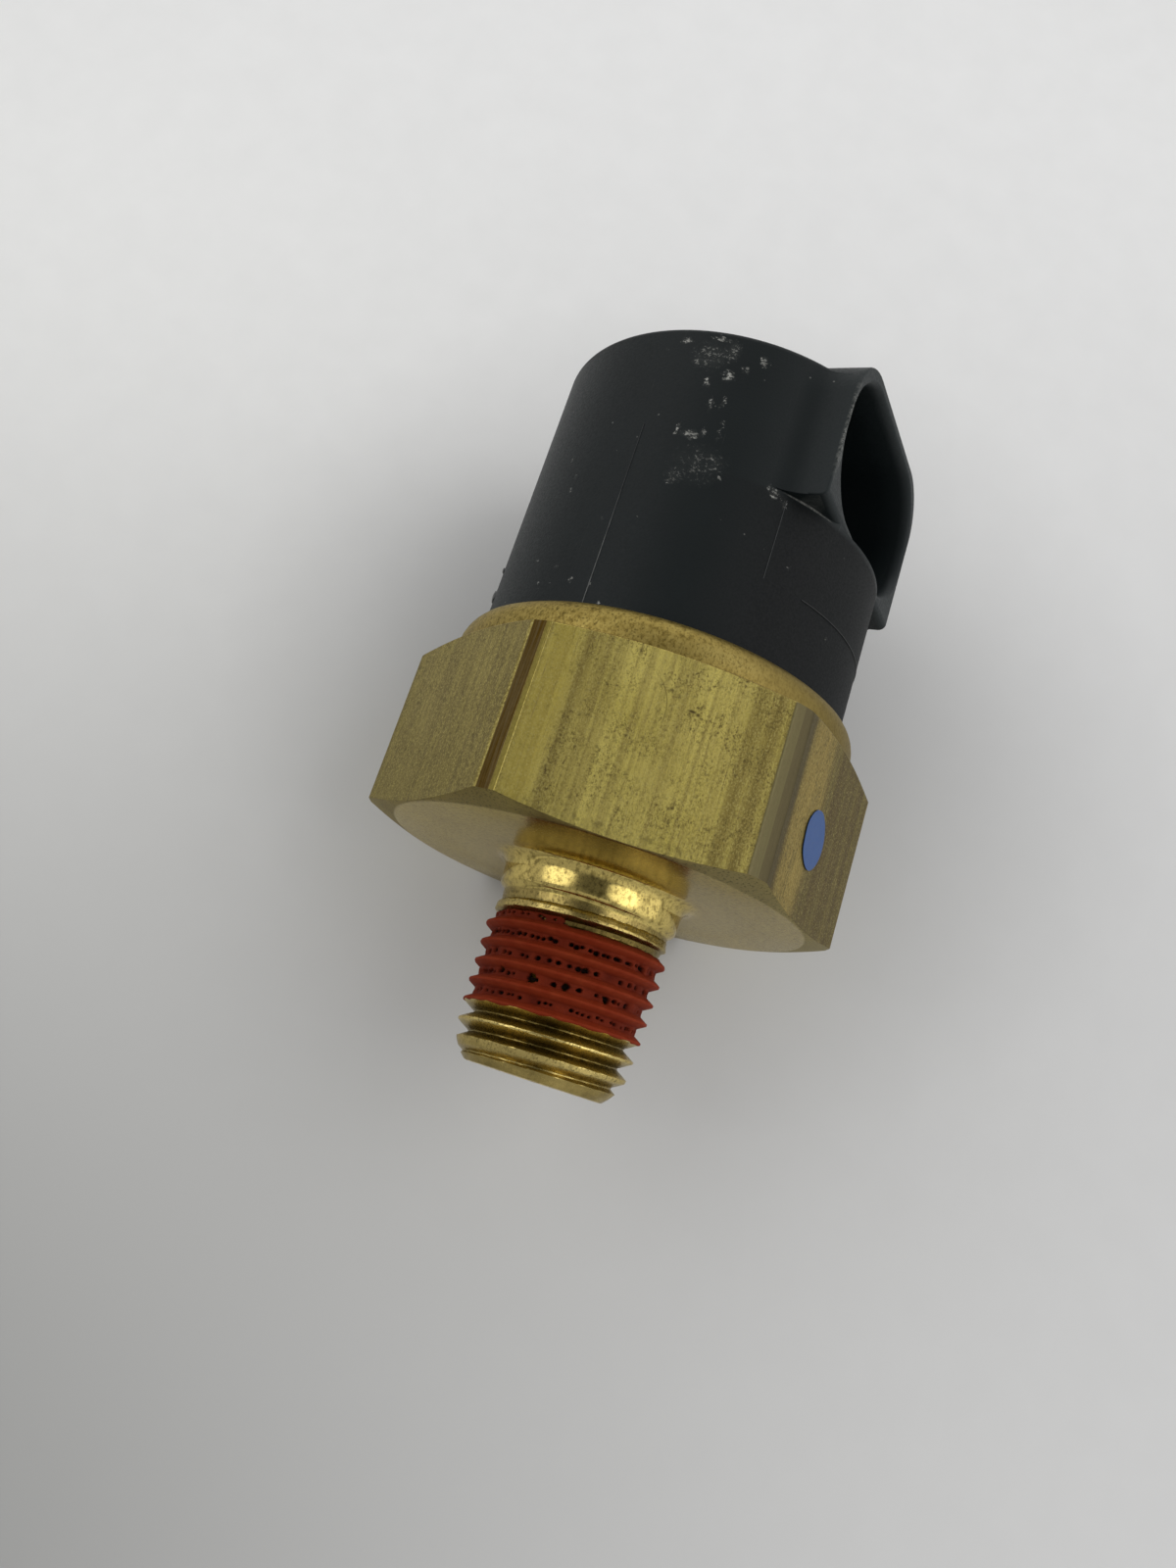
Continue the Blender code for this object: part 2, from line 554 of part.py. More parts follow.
def make_terminals(rack, metal, silver):
    half = strip_width / 2
    far = -2 * reach
    common = rectangle(far, rivet_x + RIVET_HEAD_R, -half, half)
    strip = make_terminal("common_terminal", 0, common, common_strip_z, rack, metal)
    hole = round_hole(rivet_x, 0, RIVET_R + SIDE_GAP)
    combine(strip, "DIFFERENCE", push(hole, "Z", common_strip_z - MM, common_strip_z + STRIP_THICKNESS + MM))
    for name, side, strip_z in (("nc_terminal", -1, low_strip_z), ("no_terminal", 1, high_strip_z)):
        outer = side * (TERMINAL_PITCH + half)
        inner = side * (TERMINAL_PITCH - half)
        end = -side * ARM_WIDTH / 2
        outline = [(far, outer), (reach, outer), (reach, end), (reach - STRIP_END, end),
                   (reach - STRIP_END, inner), (far, inner)]
        make_terminal(name, side * TERMINAL_PITCH, outline, strip_z, rack, metal)
    button = [(0, 0), (CONTACT_R, 0), (CONTACT_R, CONTACT_HEIGHT / 2), (CONTACT_FACE_R, CONTACT_HEIGHT),
              (0, CONTACT_HEIGHT)]
    place_piece("nc_contact", turn(button, SMALL_SIDES), silver, rack, (contact_x, 0, low_contact_z))
    upper = [(r, CONTACT_HEIGHT - z) for r, z in button]
    place_piece("no_contact", turn(upper, SMALL_SIDES), silver, rack, (contact_x, 0, high_contact_z))


def make_arm(rack, pivot, spring_metal, silver, steel):
    hole_clear = RIVET_R + SIDE_GAP
    shank_hole = CONTACT_SHANK_R + CONTACT_GAP
    pivot_z = pivot.matrix_basis.translation.z
    half = ARM_THICKNESS / 2
    blade = rounded_rectangle(-RIVET_HEAD_R, contact_x - rivet_x + CONTACT_R + SIDE_GAP, -ARM_WIDTH / 2,
                              ARM_WIDTH / 2, ARM_ROUND, ARM_ROUND)
    arm = place_piece("contact_arm", push(blade, "Z", -half, half), spring_metal, pivot,
                      (rivet_x, 0, pivot_z))
    for x, r in ((rivet_x, hole_clear), (contact_x, shank_hole)):
        hole = round_hole(x, 0, r)
        combine(arm, "DIFFERENCE", push(hole, "Z", arm_z - MM, arm_z + ARM_THICKNESS + MM))
    head = CONTACT_HEIGHT - CONTACT_GAP
    low, high = -half - CONTACT_GAP, half + CONTACT_GAP
    double = [(0, low - head), (CONTACT_FACE_R, low - head), (CONTACT_R, low - head / 2), (CONTACT_R, low),
              (CONTACT_SHANK_R, low), (CONTACT_SHANK_R, high), (CONTACT_R, high),
              (CONTACT_R, high + head / 2), (CONTACT_FACE_R, high + head), (0, high + head)]
    place_piece("arm_contact", turn(double, SMALL_SIDES), silver, pivot, (contact_x, 0, pivot_z))
    foot = base_top - RIVET_SINK + SEAT_GAP
    head_z = arm_z + ARM_THICKNESS + SEAT_GAP
    rivet = [(0, foot), (RIVET_R, foot), (RIVET_R, head_z), (RIVET_HEAD_R, head_z),
             (RIVET_FACE_R, head_z + RIVET_HEAD), (0, head_z + RIVET_HEAD)]
    place_piece("arm_rivet", turn(rivet, SMALL_SIDES), steel, rack, (rivet_x, 0, 0))


def housing_profile():
    notch_r = flange_r - SEAL_NOTCH
    shelf = housing_z + FLANGE_SHELF
    return [(bore_r, housing_z), (notch_r, housing_z), (notch_r, housing_z + SEAL_NOTCH),
            (flange_r, housing_z + SEAL_NOTCH), (flange_r, shelf), (housing_r, shelf),
            (housing_top_r, housing_top - TOP_ROUND),
            *arc(housing_top_r - TOP_ROUND, housing_top - TOP_ROUND, TOP_ROUND, 0, pi / 2, 3)[1:],
            (0, housing_top), (0, roof_z), (chamber_r, roof_z), (chamber_r, shoulder_z),
            (bore_r, shoulder_z)]


def make_housing(rack, plastic, rubber, resin):
    housing = place_piece("housing", turn(housing_profile(), BODY_SIDES), plastic, rack)
    beyond = 2 * hex_in_r
    front = rectangle(-beyond, beyond, boss_floor, boss_top + beyond)
    combine(housing, "DIFFERENCE", push(front, "X", SOCKET_FRONT - SLOT_GAP / 2, beyond))
    boss = rounded_rectangle(-boss_half_width, boss_half_width, boss_floor, boss_top, BOSS_LOW_ROUND,
                             BOSS_ROUND)
    combine(housing, "UNION", push(boss, "X", pocket_front, SOCKET_FRONT))
    mouth = rounded_rectangle(-SOCKET_HALF_WIDTH, SOCKET_HALF_WIDTH, socket_floor, socket_roof,
                              SOCKET_ROUND, SOCKET_ROUND)
    combine(housing, "DIFFERENCE", push(mouth, "X", socket_back, SOCKET_FRONT + MM))
    pocket = rectangle(pocket_back, pocket_front, -pocket_half_width, pocket_half_width)
    combine(housing, "DIFFERENCE", push(pocket, "Z", roof_z - ROOF_THICKNESS / 2, pocket_top))
    for y in (-TERMINAL_PITCH, 0, TERMINAL_PITCH):
        slot = rectangle(y - BLADE_WIDTH / 2 - SLOT_GAP, y + BLADE_WIDTH / 2 + SLOT_GAP,
                         blade_z - BLADE_THICKNESS / 2 - SLOT_GAP, blade_z + BLADE_THICKNESS / 2 + SLOT_GAP)
        combine(housing, "DIFFERENCE", push(slot, "X", pocket_front - MM, socket_back + MM))

    seal_r = flange_r - SEAL_NOTCH + SEAL_WIRE / 2 + SLOT_GAP / 2
    place_piece("housing_seal", turn(ring_profile(seal_r, SEAL_WIRE), BODY_SIDES), rubber, rack,
                (0, 0, housing_z))
    plug = rectangle(pocket_back + SIDE_GAP, pocket_front - SIDE_GAP, -pocket_half_width + SIDE_GAP,
                     pocket_half_width - SIDE_GAP)
    plug_z = socket_floor
    potting = place_piece("potting_plug", push(plug, "Z", plug_z, plug_z + POTTING_HEIGHT), resin, rack)
    for y in (-TERMINAL_PITCH, 0, TERMINAL_PITCH):
        slot = rectangle(-reach - SLOT_GAP, riser_front + SLOT_GAP,
                         y - BLADE_WIDTH / 2 - SLOT_GAP, y + BLADE_WIDTH / 2 + SLOT_GAP)
        combine(potting, "DIFFERENCE", push(slot, "Z", plug_z - MM, plug_z + POTTING_HEIGHT + MM))


def main():
    clear_scene()
    brass = finish("brass", (0.62, 0.47, 0.16), 0.35, 1)
    steel = finish("steel", (0.6, 0.6, 0.58), 0.3, 1)
    copper = finish("spring_bronze", (0.72, 0.45, 0.25), 0.35, 1)
    tin = finish("tinned_brass", (0.72, 0.7, 0.66), 0.35, 1)
    silver = finish("contact_silver", (0.85, 0.85, 0.83), 0.25, 1)
    plastic = finish("black_plastic", (0.03, 0.033, 0.036), 0.55, 0)
    insulator = finish("insulator", (0.2, 0.12, 0.07), 0.6, 0)
    ceramic = finish("ceramic", (0.86, 0.83, 0.76), 0.5, 0)
    resin = finish("potting_resin", (0.05, 0.05, 0.06), 0.4, 0)
    rubber = finish("rubber", (0.02, 0.02, 0.02), 0.7, 0)
    film = finish("diaphragm_film", (0.55, 0.3, 0.08), 0.4, 0)
    sealant = finish("thread_sealant", (0.48, 0.08, 0.05), 0.6, 0)
    paint = finish("blue_paint", (0.1, 0.25, 0.7), 0.5, 0)

    rack = empty("pressure_switch", (0, 0, 0))
    slide = empty("piston_axis", (0, 0, piston_z), rack)
    pivot = empty("arm_pivot", (rivet_x, 0, arm_z + ARM_THICKNESS / 2), rack)
    make_body(rack, brass, sealant, paint)
    make_diaphragm(rack, rubber, film)
    make_piston(rack, slide, steel, brass, ceramic)
    make_spring(rack, steel, brass)
    make_base(rack, insulator)
    make_terminals(rack, tin, silver)
    make_arm(rack, pivot, copper, silver, steel)
    make_housing(rack, plastic, rubber, resin)


main()
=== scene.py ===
import json
from math import atan2, cos, floor, hypot, pi, radians, sin, sqrt

import bmesh
import bpy
from mathutils import Matrix, Vector, noise


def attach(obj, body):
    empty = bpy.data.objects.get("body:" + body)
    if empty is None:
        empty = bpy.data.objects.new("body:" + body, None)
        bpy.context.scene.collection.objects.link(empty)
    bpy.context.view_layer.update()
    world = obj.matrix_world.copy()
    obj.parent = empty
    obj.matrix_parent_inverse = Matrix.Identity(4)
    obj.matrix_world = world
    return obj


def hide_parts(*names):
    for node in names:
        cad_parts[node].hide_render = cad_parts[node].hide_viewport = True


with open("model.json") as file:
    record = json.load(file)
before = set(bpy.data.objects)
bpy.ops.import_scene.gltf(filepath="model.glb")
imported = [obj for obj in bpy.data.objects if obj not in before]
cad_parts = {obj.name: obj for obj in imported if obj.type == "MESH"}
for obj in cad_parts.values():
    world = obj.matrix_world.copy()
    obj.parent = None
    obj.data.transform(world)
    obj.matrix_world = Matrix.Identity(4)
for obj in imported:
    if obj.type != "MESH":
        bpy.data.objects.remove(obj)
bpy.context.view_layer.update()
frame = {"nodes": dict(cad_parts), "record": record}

mm = 0.001
scene = bpy.context.scene
print("frame loaded:", len(frame["nodes"]), "nodes")


# small helpers for meshes

def putPiece(name, bm, finish, body="switch_body", sharp=35):
    mesh = bpy.data.meshes.new(name)
    bm.to_mesh(mesh)
    bm.free()
    mesh.polygons.foreach_set("use_smooth", [True] * len(mesh.polygons))
    mesh.set_sharp_from_angle(angle=radians(sharp))
    mesh.materials.append(finish)
    piece = bpy.data.objects.new(name, mesh)
    scene.collection.objects.link(piece)
    if body:
        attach(piece, body)
    return piece


def spun(points, steps, closed=True):
    bm = bmesh.new()
    verts = [bm.verts.new((r * mm, 0, z * mm)) for r, z in points]
    ends = list(zip(verts, verts[1:])) + ([(verts[-1], verts[0])] if closed else [])
    edges = [bm.edges.new(pair) for pair in ends]
    bmesh.ops.spin(bm, geom=verts + edges, cent=(0, 0, 0), axis=(0, 0, 1), angle=2 * pi,
                   steps=steps, use_merge=True)
    tidy(bm)
    return bm


def tidy(bm, distance=1e-7):
    bmesh.ops.remove_doubles(bm, verts=bm.verts[:], dist=distance)
    bmesh.ops.recalc_face_normals(bm, faces=bm.faces[:])


def line(first, last, count):
    return [(first[0] + (last[0] - first[0]) * i / count, first[1] + (last[1] - first[1]) * i / count)
            for i in range(count + 1)]


def arc(u, v, radius, start, end, steps):
    angles = [radians(start + (end - start) * i / steps) for i in range(steps + 1)]
    return [(u + radius * cos(a), v + radius * sin(a)) for a in angles]


def between(table, x):
    if x <= table[0][0]:
        return table[0][1]
    for (x0, y0), (x1, y1) in zip(table, table[1:]):
        if x <= x1:
            return y0 + (y1 - y0) * (x - x0) / (x1 - x0)
    return table[-1][1]


def ease(low, high, x):
    t = min(1, max(0, (x - low) / (high - low)))
    return t * t * (3 - 2 * t)


# small helpers for node materials

def linear(r, g, b):
    return tuple((c / 255 / 12.92) if c <= 10 else ((c / 255 + 0.055) / 1.055) ** 2.4 for c in (r, g, b)) + (1,)


def addNode(tree, kind, inputs=None, **settings):
    node = tree.nodes.new(kind)
    for key, value in settings.items():
        setattr(node, key, value)
    for key, value in (inputs or {}).items():
        if isinstance(value, bpy.types.NodeSocket):
            tree.links.new(value, node.inputs[key])
        else:
            node.inputs[key].default_value = value
    return node


def startFinish(name, roughness, metallic=0, specular=0.5):
    finish = bpy.data.materials.new(name)
    finish.use_nodes = True
    tree = finish.node_tree
    shader = tree.nodes["Principled BSDF"]
    shader.inputs["Roughness"].default_value = roughness
    shader.inputs["Metallic"].default_value = metallic
    shader.inputs["Specular IOR Level"].default_value = specular
    coords = addNode(tree, "ShaderNodeTexCoord").outputs["Object"]
    place = addNode(tree, "ShaderNodeMapping", {"Vector": coords, "Scale": (1000, 1000, 1000)}).outputs[0]
    return finish, tree, shader, place  # place is in mm


def stretched(tree, vector, scale, turn=(0, 0, 0), shift=(0, 0, 0)):
    return addNode(tree, "ShaderNodeMapping", {"Vector": vector, "Scale": scale, "Rotation": turn,
                                               "Location": shift}).outputs[0]


def grain(tree, vector, scale, detail=3, roughness=0.55):
    return addNode(tree, "ShaderNodeTexNoise", {"Vector": vector, "Scale": scale, "Detail": detail,
                                                "Roughness": roughness}).outputs["Fac"]


def fromTo(tree, value, low, high, toLow=0, toHigh=1, kind="LINEAR"):
    limits = {"Value": value, "From Min": low, "From Max": high, "To Min": toLow, "To Max": toHigh}
    return addNode(tree, "ShaderNodeMapRange", limits, interpolation_type=kind).outputs[0]


def calc(tree, operation, first, second=0):
    return addNode(tree, "ShaderNodeMath", {0: first, 1: second}, operation=operation).outputs[0]


def offFrom(tree, value, shift):
    return calc(tree, "ABSOLUTE", calc(tree, "ADD", value, shift))


def tint(tree, factor, under, over, blend="MIX"):
    return addNode(tree, "ShaderNodeMix", {0: factor, 6: under, 7: over}, data_type="RGBA",
                   blend_type=blend).outputs[2]


def bumped(tree, shader, height, distance, strength=1):
    bump = addNode(tree, "ShaderNodeBump", {"Height": height, "Distance": distance * mm, "Strength": strength})
    tree.links.new(bump.outputs[0], shader.inputs["Normal"])


def feed(tree, socket, value):
    tree.links.new(value, socket)


def parts(tree, vector):
    return addNode(tree, "ShaderNodeSeparateXYZ", {"Vector": vector}).outputs


def radiusOf(tree, vector):
    flat = addNode(tree, "ShaderNodeVectorMath", {0: vector, 1: (1, 1, 0)}, operation="MULTIPLY").outputs[0]
    return addNode(tree, "ShaderNodeVectorMath", {0: flat}, operation="LENGTH").outputs["Value"]


def azimuthOf(tree, x, y):
    return calc(tree, "MULTIPLY", calc(tree, "ARCTAN2", y, x), 180 / pi)


def flatMap(tree, u, v, w=0):
    return addNode(tree, "ShaderNodeCombineXYZ", {0: u, 1: v, 2: w}).outputs[0]


def patch(tree, flat, centre, half, soft=0.5):
    away = addNode(tree, "ShaderNodeVectorMath", {0: flat, 1: centre}, operation="SUBTRACT").outputs[0]
    away = addNode(tree, "ShaderNodeVectorMath", {0: away, 1: half}, operation="DIVIDE").outputs[0]
    away = addNode(tree, "ShaderNodeVectorMath", {0: away}, operation="LENGTH").outputs["Value"]
    return fromTo(tree, away, 1, 1 - soft)


def farFrom(tree, vector, point):
    return addNode(tree, "ShaderNodeVectorMath", {0: vector, 1: point}, operation="DISTANCE").outputs["Value"]


def both(tree, *masks):
    product = masks[0]
    for mask in masks[1:]:
        product = calc(tree, "MULTIPLY", product, mask)
    return product


def most(tree, *masks):
    top = masks[0]
    for mask in masks[1:]:
        top = calc(tree, "MAXIMUM", top, mask)
    return top


def steps(tree, value, colours):
    ramp = addNode(tree, "ShaderNodeValToRGB", {0: value})
    ramp.color_ramp.interpolation = "CONSTANT"
    stops = ramp.color_ramp.elements
    while len(stops) < len(colours):
        stops.new(1)
    for i, colour in enumerate(colours):
        stops[i].position = i / len(colours)
        stops[i].color = colour if len(colour) == 4 else (*colour, 1)
    return ramp.outputs["Color"]


def bands(tree, value, stops):
    ramp = addNode(tree, "ShaderNodeValToRGB", {0: value})
    held = ramp.color_ramp.elements
    while len(held) < len(stops):
        held.new(1)
    for stop, (where, level) in zip(held, stops):
        stop.position = where
        stop.color = (level, level, level, 1)
    return ramp.outputs["Color"]


# camera, as found from the hexagon's corners and the housing's rim in the photograph

photoCamera = {
    "place": (40.98, -76.67, -15.47),
    "right": (0.8618, 0.4071, 0.3027),
    "up": (-0.1519, -0.3623, 0.9197),
    "lens": 27.24,
    "sensor": 36,
}
camera = bpy.data.objects.new("photoCamera", bpy.data.cameras.new("photoCamera"))
scene.collection.objects.link(camera)
camera.data.lens = photoCamera["lens"]
camera.data.sensor_width = photoCamera["sensor"]
camera.data.clip_start = 0.005
rightWay = Vector(photoCamera["right"]).normalized()
upWay = (Vector(photoCamera["up"]) - rightWay * rightWay.dot(Vector(photoCamera["up"]))).normalized()
turned = Matrix((rightWay, upWay, rightWay.cross(upWay))).transposed()
camera.matrix_world = Matrix.Translation(Vector(photoCamera["place"]) * mm) @ turned.to_4x4()
scene.camera = camera
scene.view_settings.view_transform = "Standard"
print("camera set")


# the table that the switch lies on, one flat of the hexagon against it

table = {
    "normal": Vector((0.5, -0.8660254, 0)),
    "behind": 15.95,
    "half": 3000,
    # painted light and shade: these tones run the table dark to the lower left and pale to the top, standing in
    # for the room's uneven light
    "lowTones": ((0.31, 0.31, 0.3, 1), (0.76, 0.76, 0.755, 1)),         # left and right, by the thread
    "highTones": ((0.94, 0.94, 0.925, 1), (0.755, 0.755, 0.753, 1)),    # left and right, by the housing
    "topTone": (0.95, 0.95, 0.945, 1),
    "farTone": (0.72, 0.72, 0.715, 1),
    # painted shadow: a soft darker patch on the table around the switch
    "shade": {"centre": (5, 24, 0), "half": (45, 40, 1), "soft": 0.78, "level": 0.3,
              "tone": (0.2, 0.2, 0.197, 1)},
    "clear": (0.0012, 0.0008),  # rays shorter than this pass, so the flat on the table stays lit
}


def makeTable():
    bm = bmesh.new()
    bmesh.ops.create_grid(bm, x_segments=1, y_segments=1, size=table["half"] * mm)
    lie = table["normal"].to_track_quat("Z", "Y").to_matrix().to_4x4()
    bmesh.ops.transform(bm, matrix=Matrix.Translation(-table["normal"] * table["behind"] * mm) @ lie,
                        verts=bm.verts[:])
    finish = bpy.data.materials.new("tableTop")
    finish.use_nodes = True
    tree = finish.node_tree
    tree.nodes.remove(tree.nodes["Principled BSDF"])
    coords = addNode(tree, "ShaderNodeTexCoord").outputs["Object"]
    inMm = addNode(tree, "ShaderNodeMapping", {"Vector": coords, "Scale": (1000, 1000, 1000)}).outputs[0]
    x, y, z = parts(tree, inMm)
    # painted light and shade: darker to the lower left, paler to the right and top, evening out far away
    side = fromTo(tree, x, -66, 61, kind="SMOOTHSTEP")
    low = tint(tree, side, *table["lowTones"])
    high = tint(tree, side, *table["highTones"])
    pale = tint(tree, fromTo(tree, z, -77.5, 57.5, kind="SMOOTHSTEP"), low, high)
    pale = tint(tree, fromTo(tree, z, 12.5, 117.5, kind="SMOOTHSTEP"), pale, table["topTone"])
    along = calc(tree, "ADD", calc(tree, "MULTIPLY", x, 0.866), calc(tree, "MULTIPLY", y, 0.5))
    spread = flatMap(tree, along, z)
    away = farFrom(tree, spread, (0, 0, 0))
    pale = tint(tree, fromTo(tree, away, 85, 260, kind="SMOOTHSTEP"), pale, table["farTone"])
    # painted shadow: the table darkened in a soft patch around the switch
    shade = table["shade"]
    wearAndShadow = patch(tree, spread, shade["centre"], shade["half"], shade["soft"])
    pale = tint(tree, calc(tree, "MULTIPLY", wearAndShadow, shade["level"]), pale, shade["tone"])
    mottle = addNode(tree, "ShaderNodeTexNoise", {"Vector": coords, "Scale": 260, "Detail": 3})
    pale = tint(tree, fromTo(tree, mottle.outputs["Fac"], 0.3, 0.7, 0, 0.05), pale, (0.5, 0.5, 0.49, 1))
    matt = addNode(tree, "ShaderNodeBsdfDiffuse", {"Color": pale}).outputs[0]
    clear = addNode(tree, "ShaderNodeBsdfTransparent").outputs[0]
    back = addNode(tree, "ShaderNodeNewGeometry").outputs["Backfacing"]
    rays = addNode(tree, "ShaderNodeLightPath").outputs
    unseen = calc(tree, "SUBTRACT", 1, rays["Is Camera Ray"])
    close = both(tree, fromTo(tree, rays["Ray Length"], *table["clear"]), unseen)
    mixed = addNode(tree, "ShaderNodeMixShader", {0: most(tree, back, close), 1: matt, 2: clear})
    feed(tree, tree.nodes["Material Output"].inputs["Surface"], mixed.outputs[0])
    top = putPiece("tableTop", bm, finish, body=None)


makeTable()


# light: a pale room, brighter on the right and above, with two soft windows in front

roomLight = {
    "strength": 1.19,
    "seen": 0.85,        # the same pale room as it shows behind the switch, short of white
    "bright": Vector((0.55, 0.1, 0.83)),
    "shady": Vector((0.46, -0.87, 0.14)),  # the darker side of the room
    "shadyEdges": (48, 14),
    "shadyLevel": 0.94,
}
windows = [
    {"way": Vector((-0.314, -0.932, 0.178)), "inner": 11, "outer": 25, "level": 1.35},
    {"way": Vector((0.904, -0.39, 0.176)), "inner": 11, "outer": 25, "level": 1.3},
]


def makeLight():
    world = bpy.data.worlds.new("room")
    scene.world = world
    world.use_nodes = True
    tree = world.node_tree
    room = tree.nodes["Background"]
    way = addNode(tree, "ShaderNodeTexCoord").outputs["Generated"]
    unseen = calc(tree, "SUBTRACT", 1, addNode(tree, "ShaderNodeLightPath").outputs["Is Camera Ray"])

    def facing(there):
        return addNode(tree, "ShaderNodeVectorMath", {0: way, 1: there.normalized()},
                       operation="DOT_PRODUCT").outputs["Value"]

    sky = tint(tree, fromTo(tree, facing(roomLight["bright"]), -0.6, 0.7), (0.36, 0.36, 0.36, 1), (1, 1, 1, 1))
    # every ray sees the pale room, and the shady side and windows stay out of the picture as lamps do
    outer, inner = [cos(radians(edge)) for edge in roomLight["shadyEdges"]]
    shady = fromTo(tree, facing(roomLight["shady"]), outer, inner, 0, roomLight["shadyLevel"])
    sky = tint(tree, both(tree, shady, unseen), sky, (0.06, 0.06, 0.06, 1))
    for window in windows:
        outer, inner = cos(radians(window["outer"])), cos(radians(window["inner"]))
        glow = fromTo(tree, facing(window["way"]), outer, inner, 0, window["level"])
        sky = tint(tree, both(tree, glow, unseen), sky, (1, 1, 1, 1), "ADD")
    feed(tree, room.inputs["Color"], sky)
    feed(tree, room.inputs["Strength"], fromTo(tree, unseen, 0, 1, roomLight["seen"], roomLight["strength"]))


makeLight()
print("table and light set")


# brass body: turned blank, six flats, neck and tapered thread in one mesh

brassBody = {
    "steps": 192,
    "acrossFlats": 31.75,
    "landRadius": 17.90,
    "landLow": 0.653,
    "landTop": 12.35,
    "faceRadius": 15.625,
    "collar": [(15.6, 13.031), (15.58, 13.6), (15.5, 14.24), (15.37, 14.66), (15.19, 15.0), (14.98, 15.26),
               (14.76, 15.41), (14.56, 15.47), (14.43, 15.43), (14.37, 15.3), (14.35, 15.13)],
    "cup": [(14.35, 14.28), (15.0, 14.28), (15.0, 11.18), (13.2, 11.18), (13.2, 3.0), (11.2, 3.0), (11.2, 1.85),
            (9.4, 1.85), (9.4, 3.0), (6.5, 3.0), (6.5, 2.0), (2.2, 2.0)],
    "neck": [(6.26, -2.62), (6.3, -2.5), (6.48, -2.34), (6.62, -2.24), (6.68, -2.16), (6.71, -2.05),
             (6.74, -1.7)],
    "edge": 0.11,
    "lowEdge": 0.035,
}

pipeThread = {
    "pitch": 1.4111,
    "top": -3.9,
    "turned": 0.58,      # part of a turn, from the photograph
    "gauge": -5.4,
    "crest": 6.66,
    "taper": 1 / 32,
    "depth": 0.95,
    "crestHalf": 0.07,
    "rootHalf": 0.65,
    "rows": 240,
    "first": -2.62,
    "last": -14.96,
    "runIn": [(-5.4, 9), (-5.0, 6.68), (-4.6, 6.62), (-4.1, 6.47), (-3.5, 6.42), (-3.1, 6.33), (-2.7, 6.27)],
    "floor": [(-5.0, 0), (-4.7, 5.76), (-4.2, 5.92), (-3.6, 6.12), (-3.2, 6.23), (-2.7, 6.26)],
    "end": [(-15, 5.08), (-14.6, 5.5), (-14.2, 5.82), (-13.8, 6.06), (-13.3, 6.26), (-12.8, 6.42), (-12.3, 9)],
}


def threadPlace(angle, z):
    return (pipeThread["top"] - z) / pipeThread["pitch"] + angle / (2 * pi) - pipeThread["turned"]


def rootRadius(z):
    return pipeThread["crest"] + pipeThread["taper"] * (z - pipeThread["gauge"]) - pipeThread["depth"]


def threadRadius(angle, z):
    place = threadPlace(angle, z)
    aside = abs(place - floor(place + 0.5)) * pipeThread["pitch"]
    rise = (pipeThread["rootHalf"] - aside) / (pipeThread["rootHalf"] - pipeThread["crestHalf"])
    radius = rootRadius(z) + pipeThread["depth"] * min(1, max(0, rise))
    radius = max(min(radius, between(pipeThread["runIn"], z)), between(pipeThread["floor"], z))
    return min(radius, between(pipeThread["end"], z))


def wornThread(angle, z):
    where = Vector((cos(angle) * 6, sin(angle) * 6, z))
    return threadRadius(angle, z) + 0.018 * noise.noise(where * 2.1) + 0.01 * noise.noise(where * 6)


def makeBody(finish):
    size = brassBody
    first, last = pipeThread["first"], pipeThread["last"]
    stem = [(2.2, -15), (4.9, -15), (5.02, -14.995)]
    thread = line((6.2, last), (6.2, first), pipeThread["rows"])
    neck = size["neck"][1:] + arc(7.8, -1.05, 1.03, 180, 90, 10) + [(8.1, 0)]
    hexagon = [(8.6, 0), (12, 0), (size["faceRadius"], 0), (size["landRadius"], size["landLow"]),
               (size["landRadius"], size["landTop"])]
    bm = spun(stem + thread + neck + hexagon + size["collar"] + size["cup"], size["steps"])
    groove = bm.verts.layers.float.new("groove")
    for vert in bm.verts:
        x, y, z = vert.co / mm
        if last - 1e-4 <= z <= first + 1e-4 and 6.0 < hypot(x, y) < 6.3:
            angle = atan2(y, x)
            radius = wornThread(angle, z) * mm
            vert.co.x, vert.co.y = radius * cos(angle), radius * sin(angle)
            below = rootRadius(z) + pipeThread["depth"] - radius / mm
            vert[groove] = min(1, max(0, below / pipeThread["depth"]))
    for i in range(6):
        way = Vector((cos(radians(60 * i)), sin(radians(60 * i)), 0))
        whole = bm.verts[:] + bm.edges[:] + bm.faces[:]
        cut = bmesh.ops.bisect_plane(bm, geom=whole, dist=1e-7, plane_co=way * size["acrossFlats"] / 2 * mm,
                                     plane_no=way, clear_outer=True)
        rim = [edge for edge in cut["geom_cut"] if isinstance(edge, bmesh.types.BMEdge)]
        bmesh.ops.edgeloop_fill(bm, edges=rim)
    tidy(bm)
    for low, width in ((False, size["edge"]), (True, size["lowEdge"])):
        flats = [face for face in bm.faces if len(face.verts) > 20 and abs(face.normal.z) < 0.01]
        rims = {edge for face in flats for edge in face.edges}
        rims = [edge for edge in rims if (max(v.co.z for v in edge.verts) < 0.7 * mm) == low]
        bmesh.ops.bevel(bm, geom=rims, offset=width * mm, offset_type="OFFSET", segments=2, profile=0.5,
                        affect="EDGES", material=-1, clamp_overlap=True)
    tidy(bm)
    body = putPiece("hexagonBody", bm, finish, sharp=40)
    shade = body.modifiers.new("evenShade", "WEIGHTED_NORMAL")
    shade.keep_sharp = True
    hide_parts("hex_body")
    return body


# sealant: a dried red skin over the thread, open in pits along the grooves

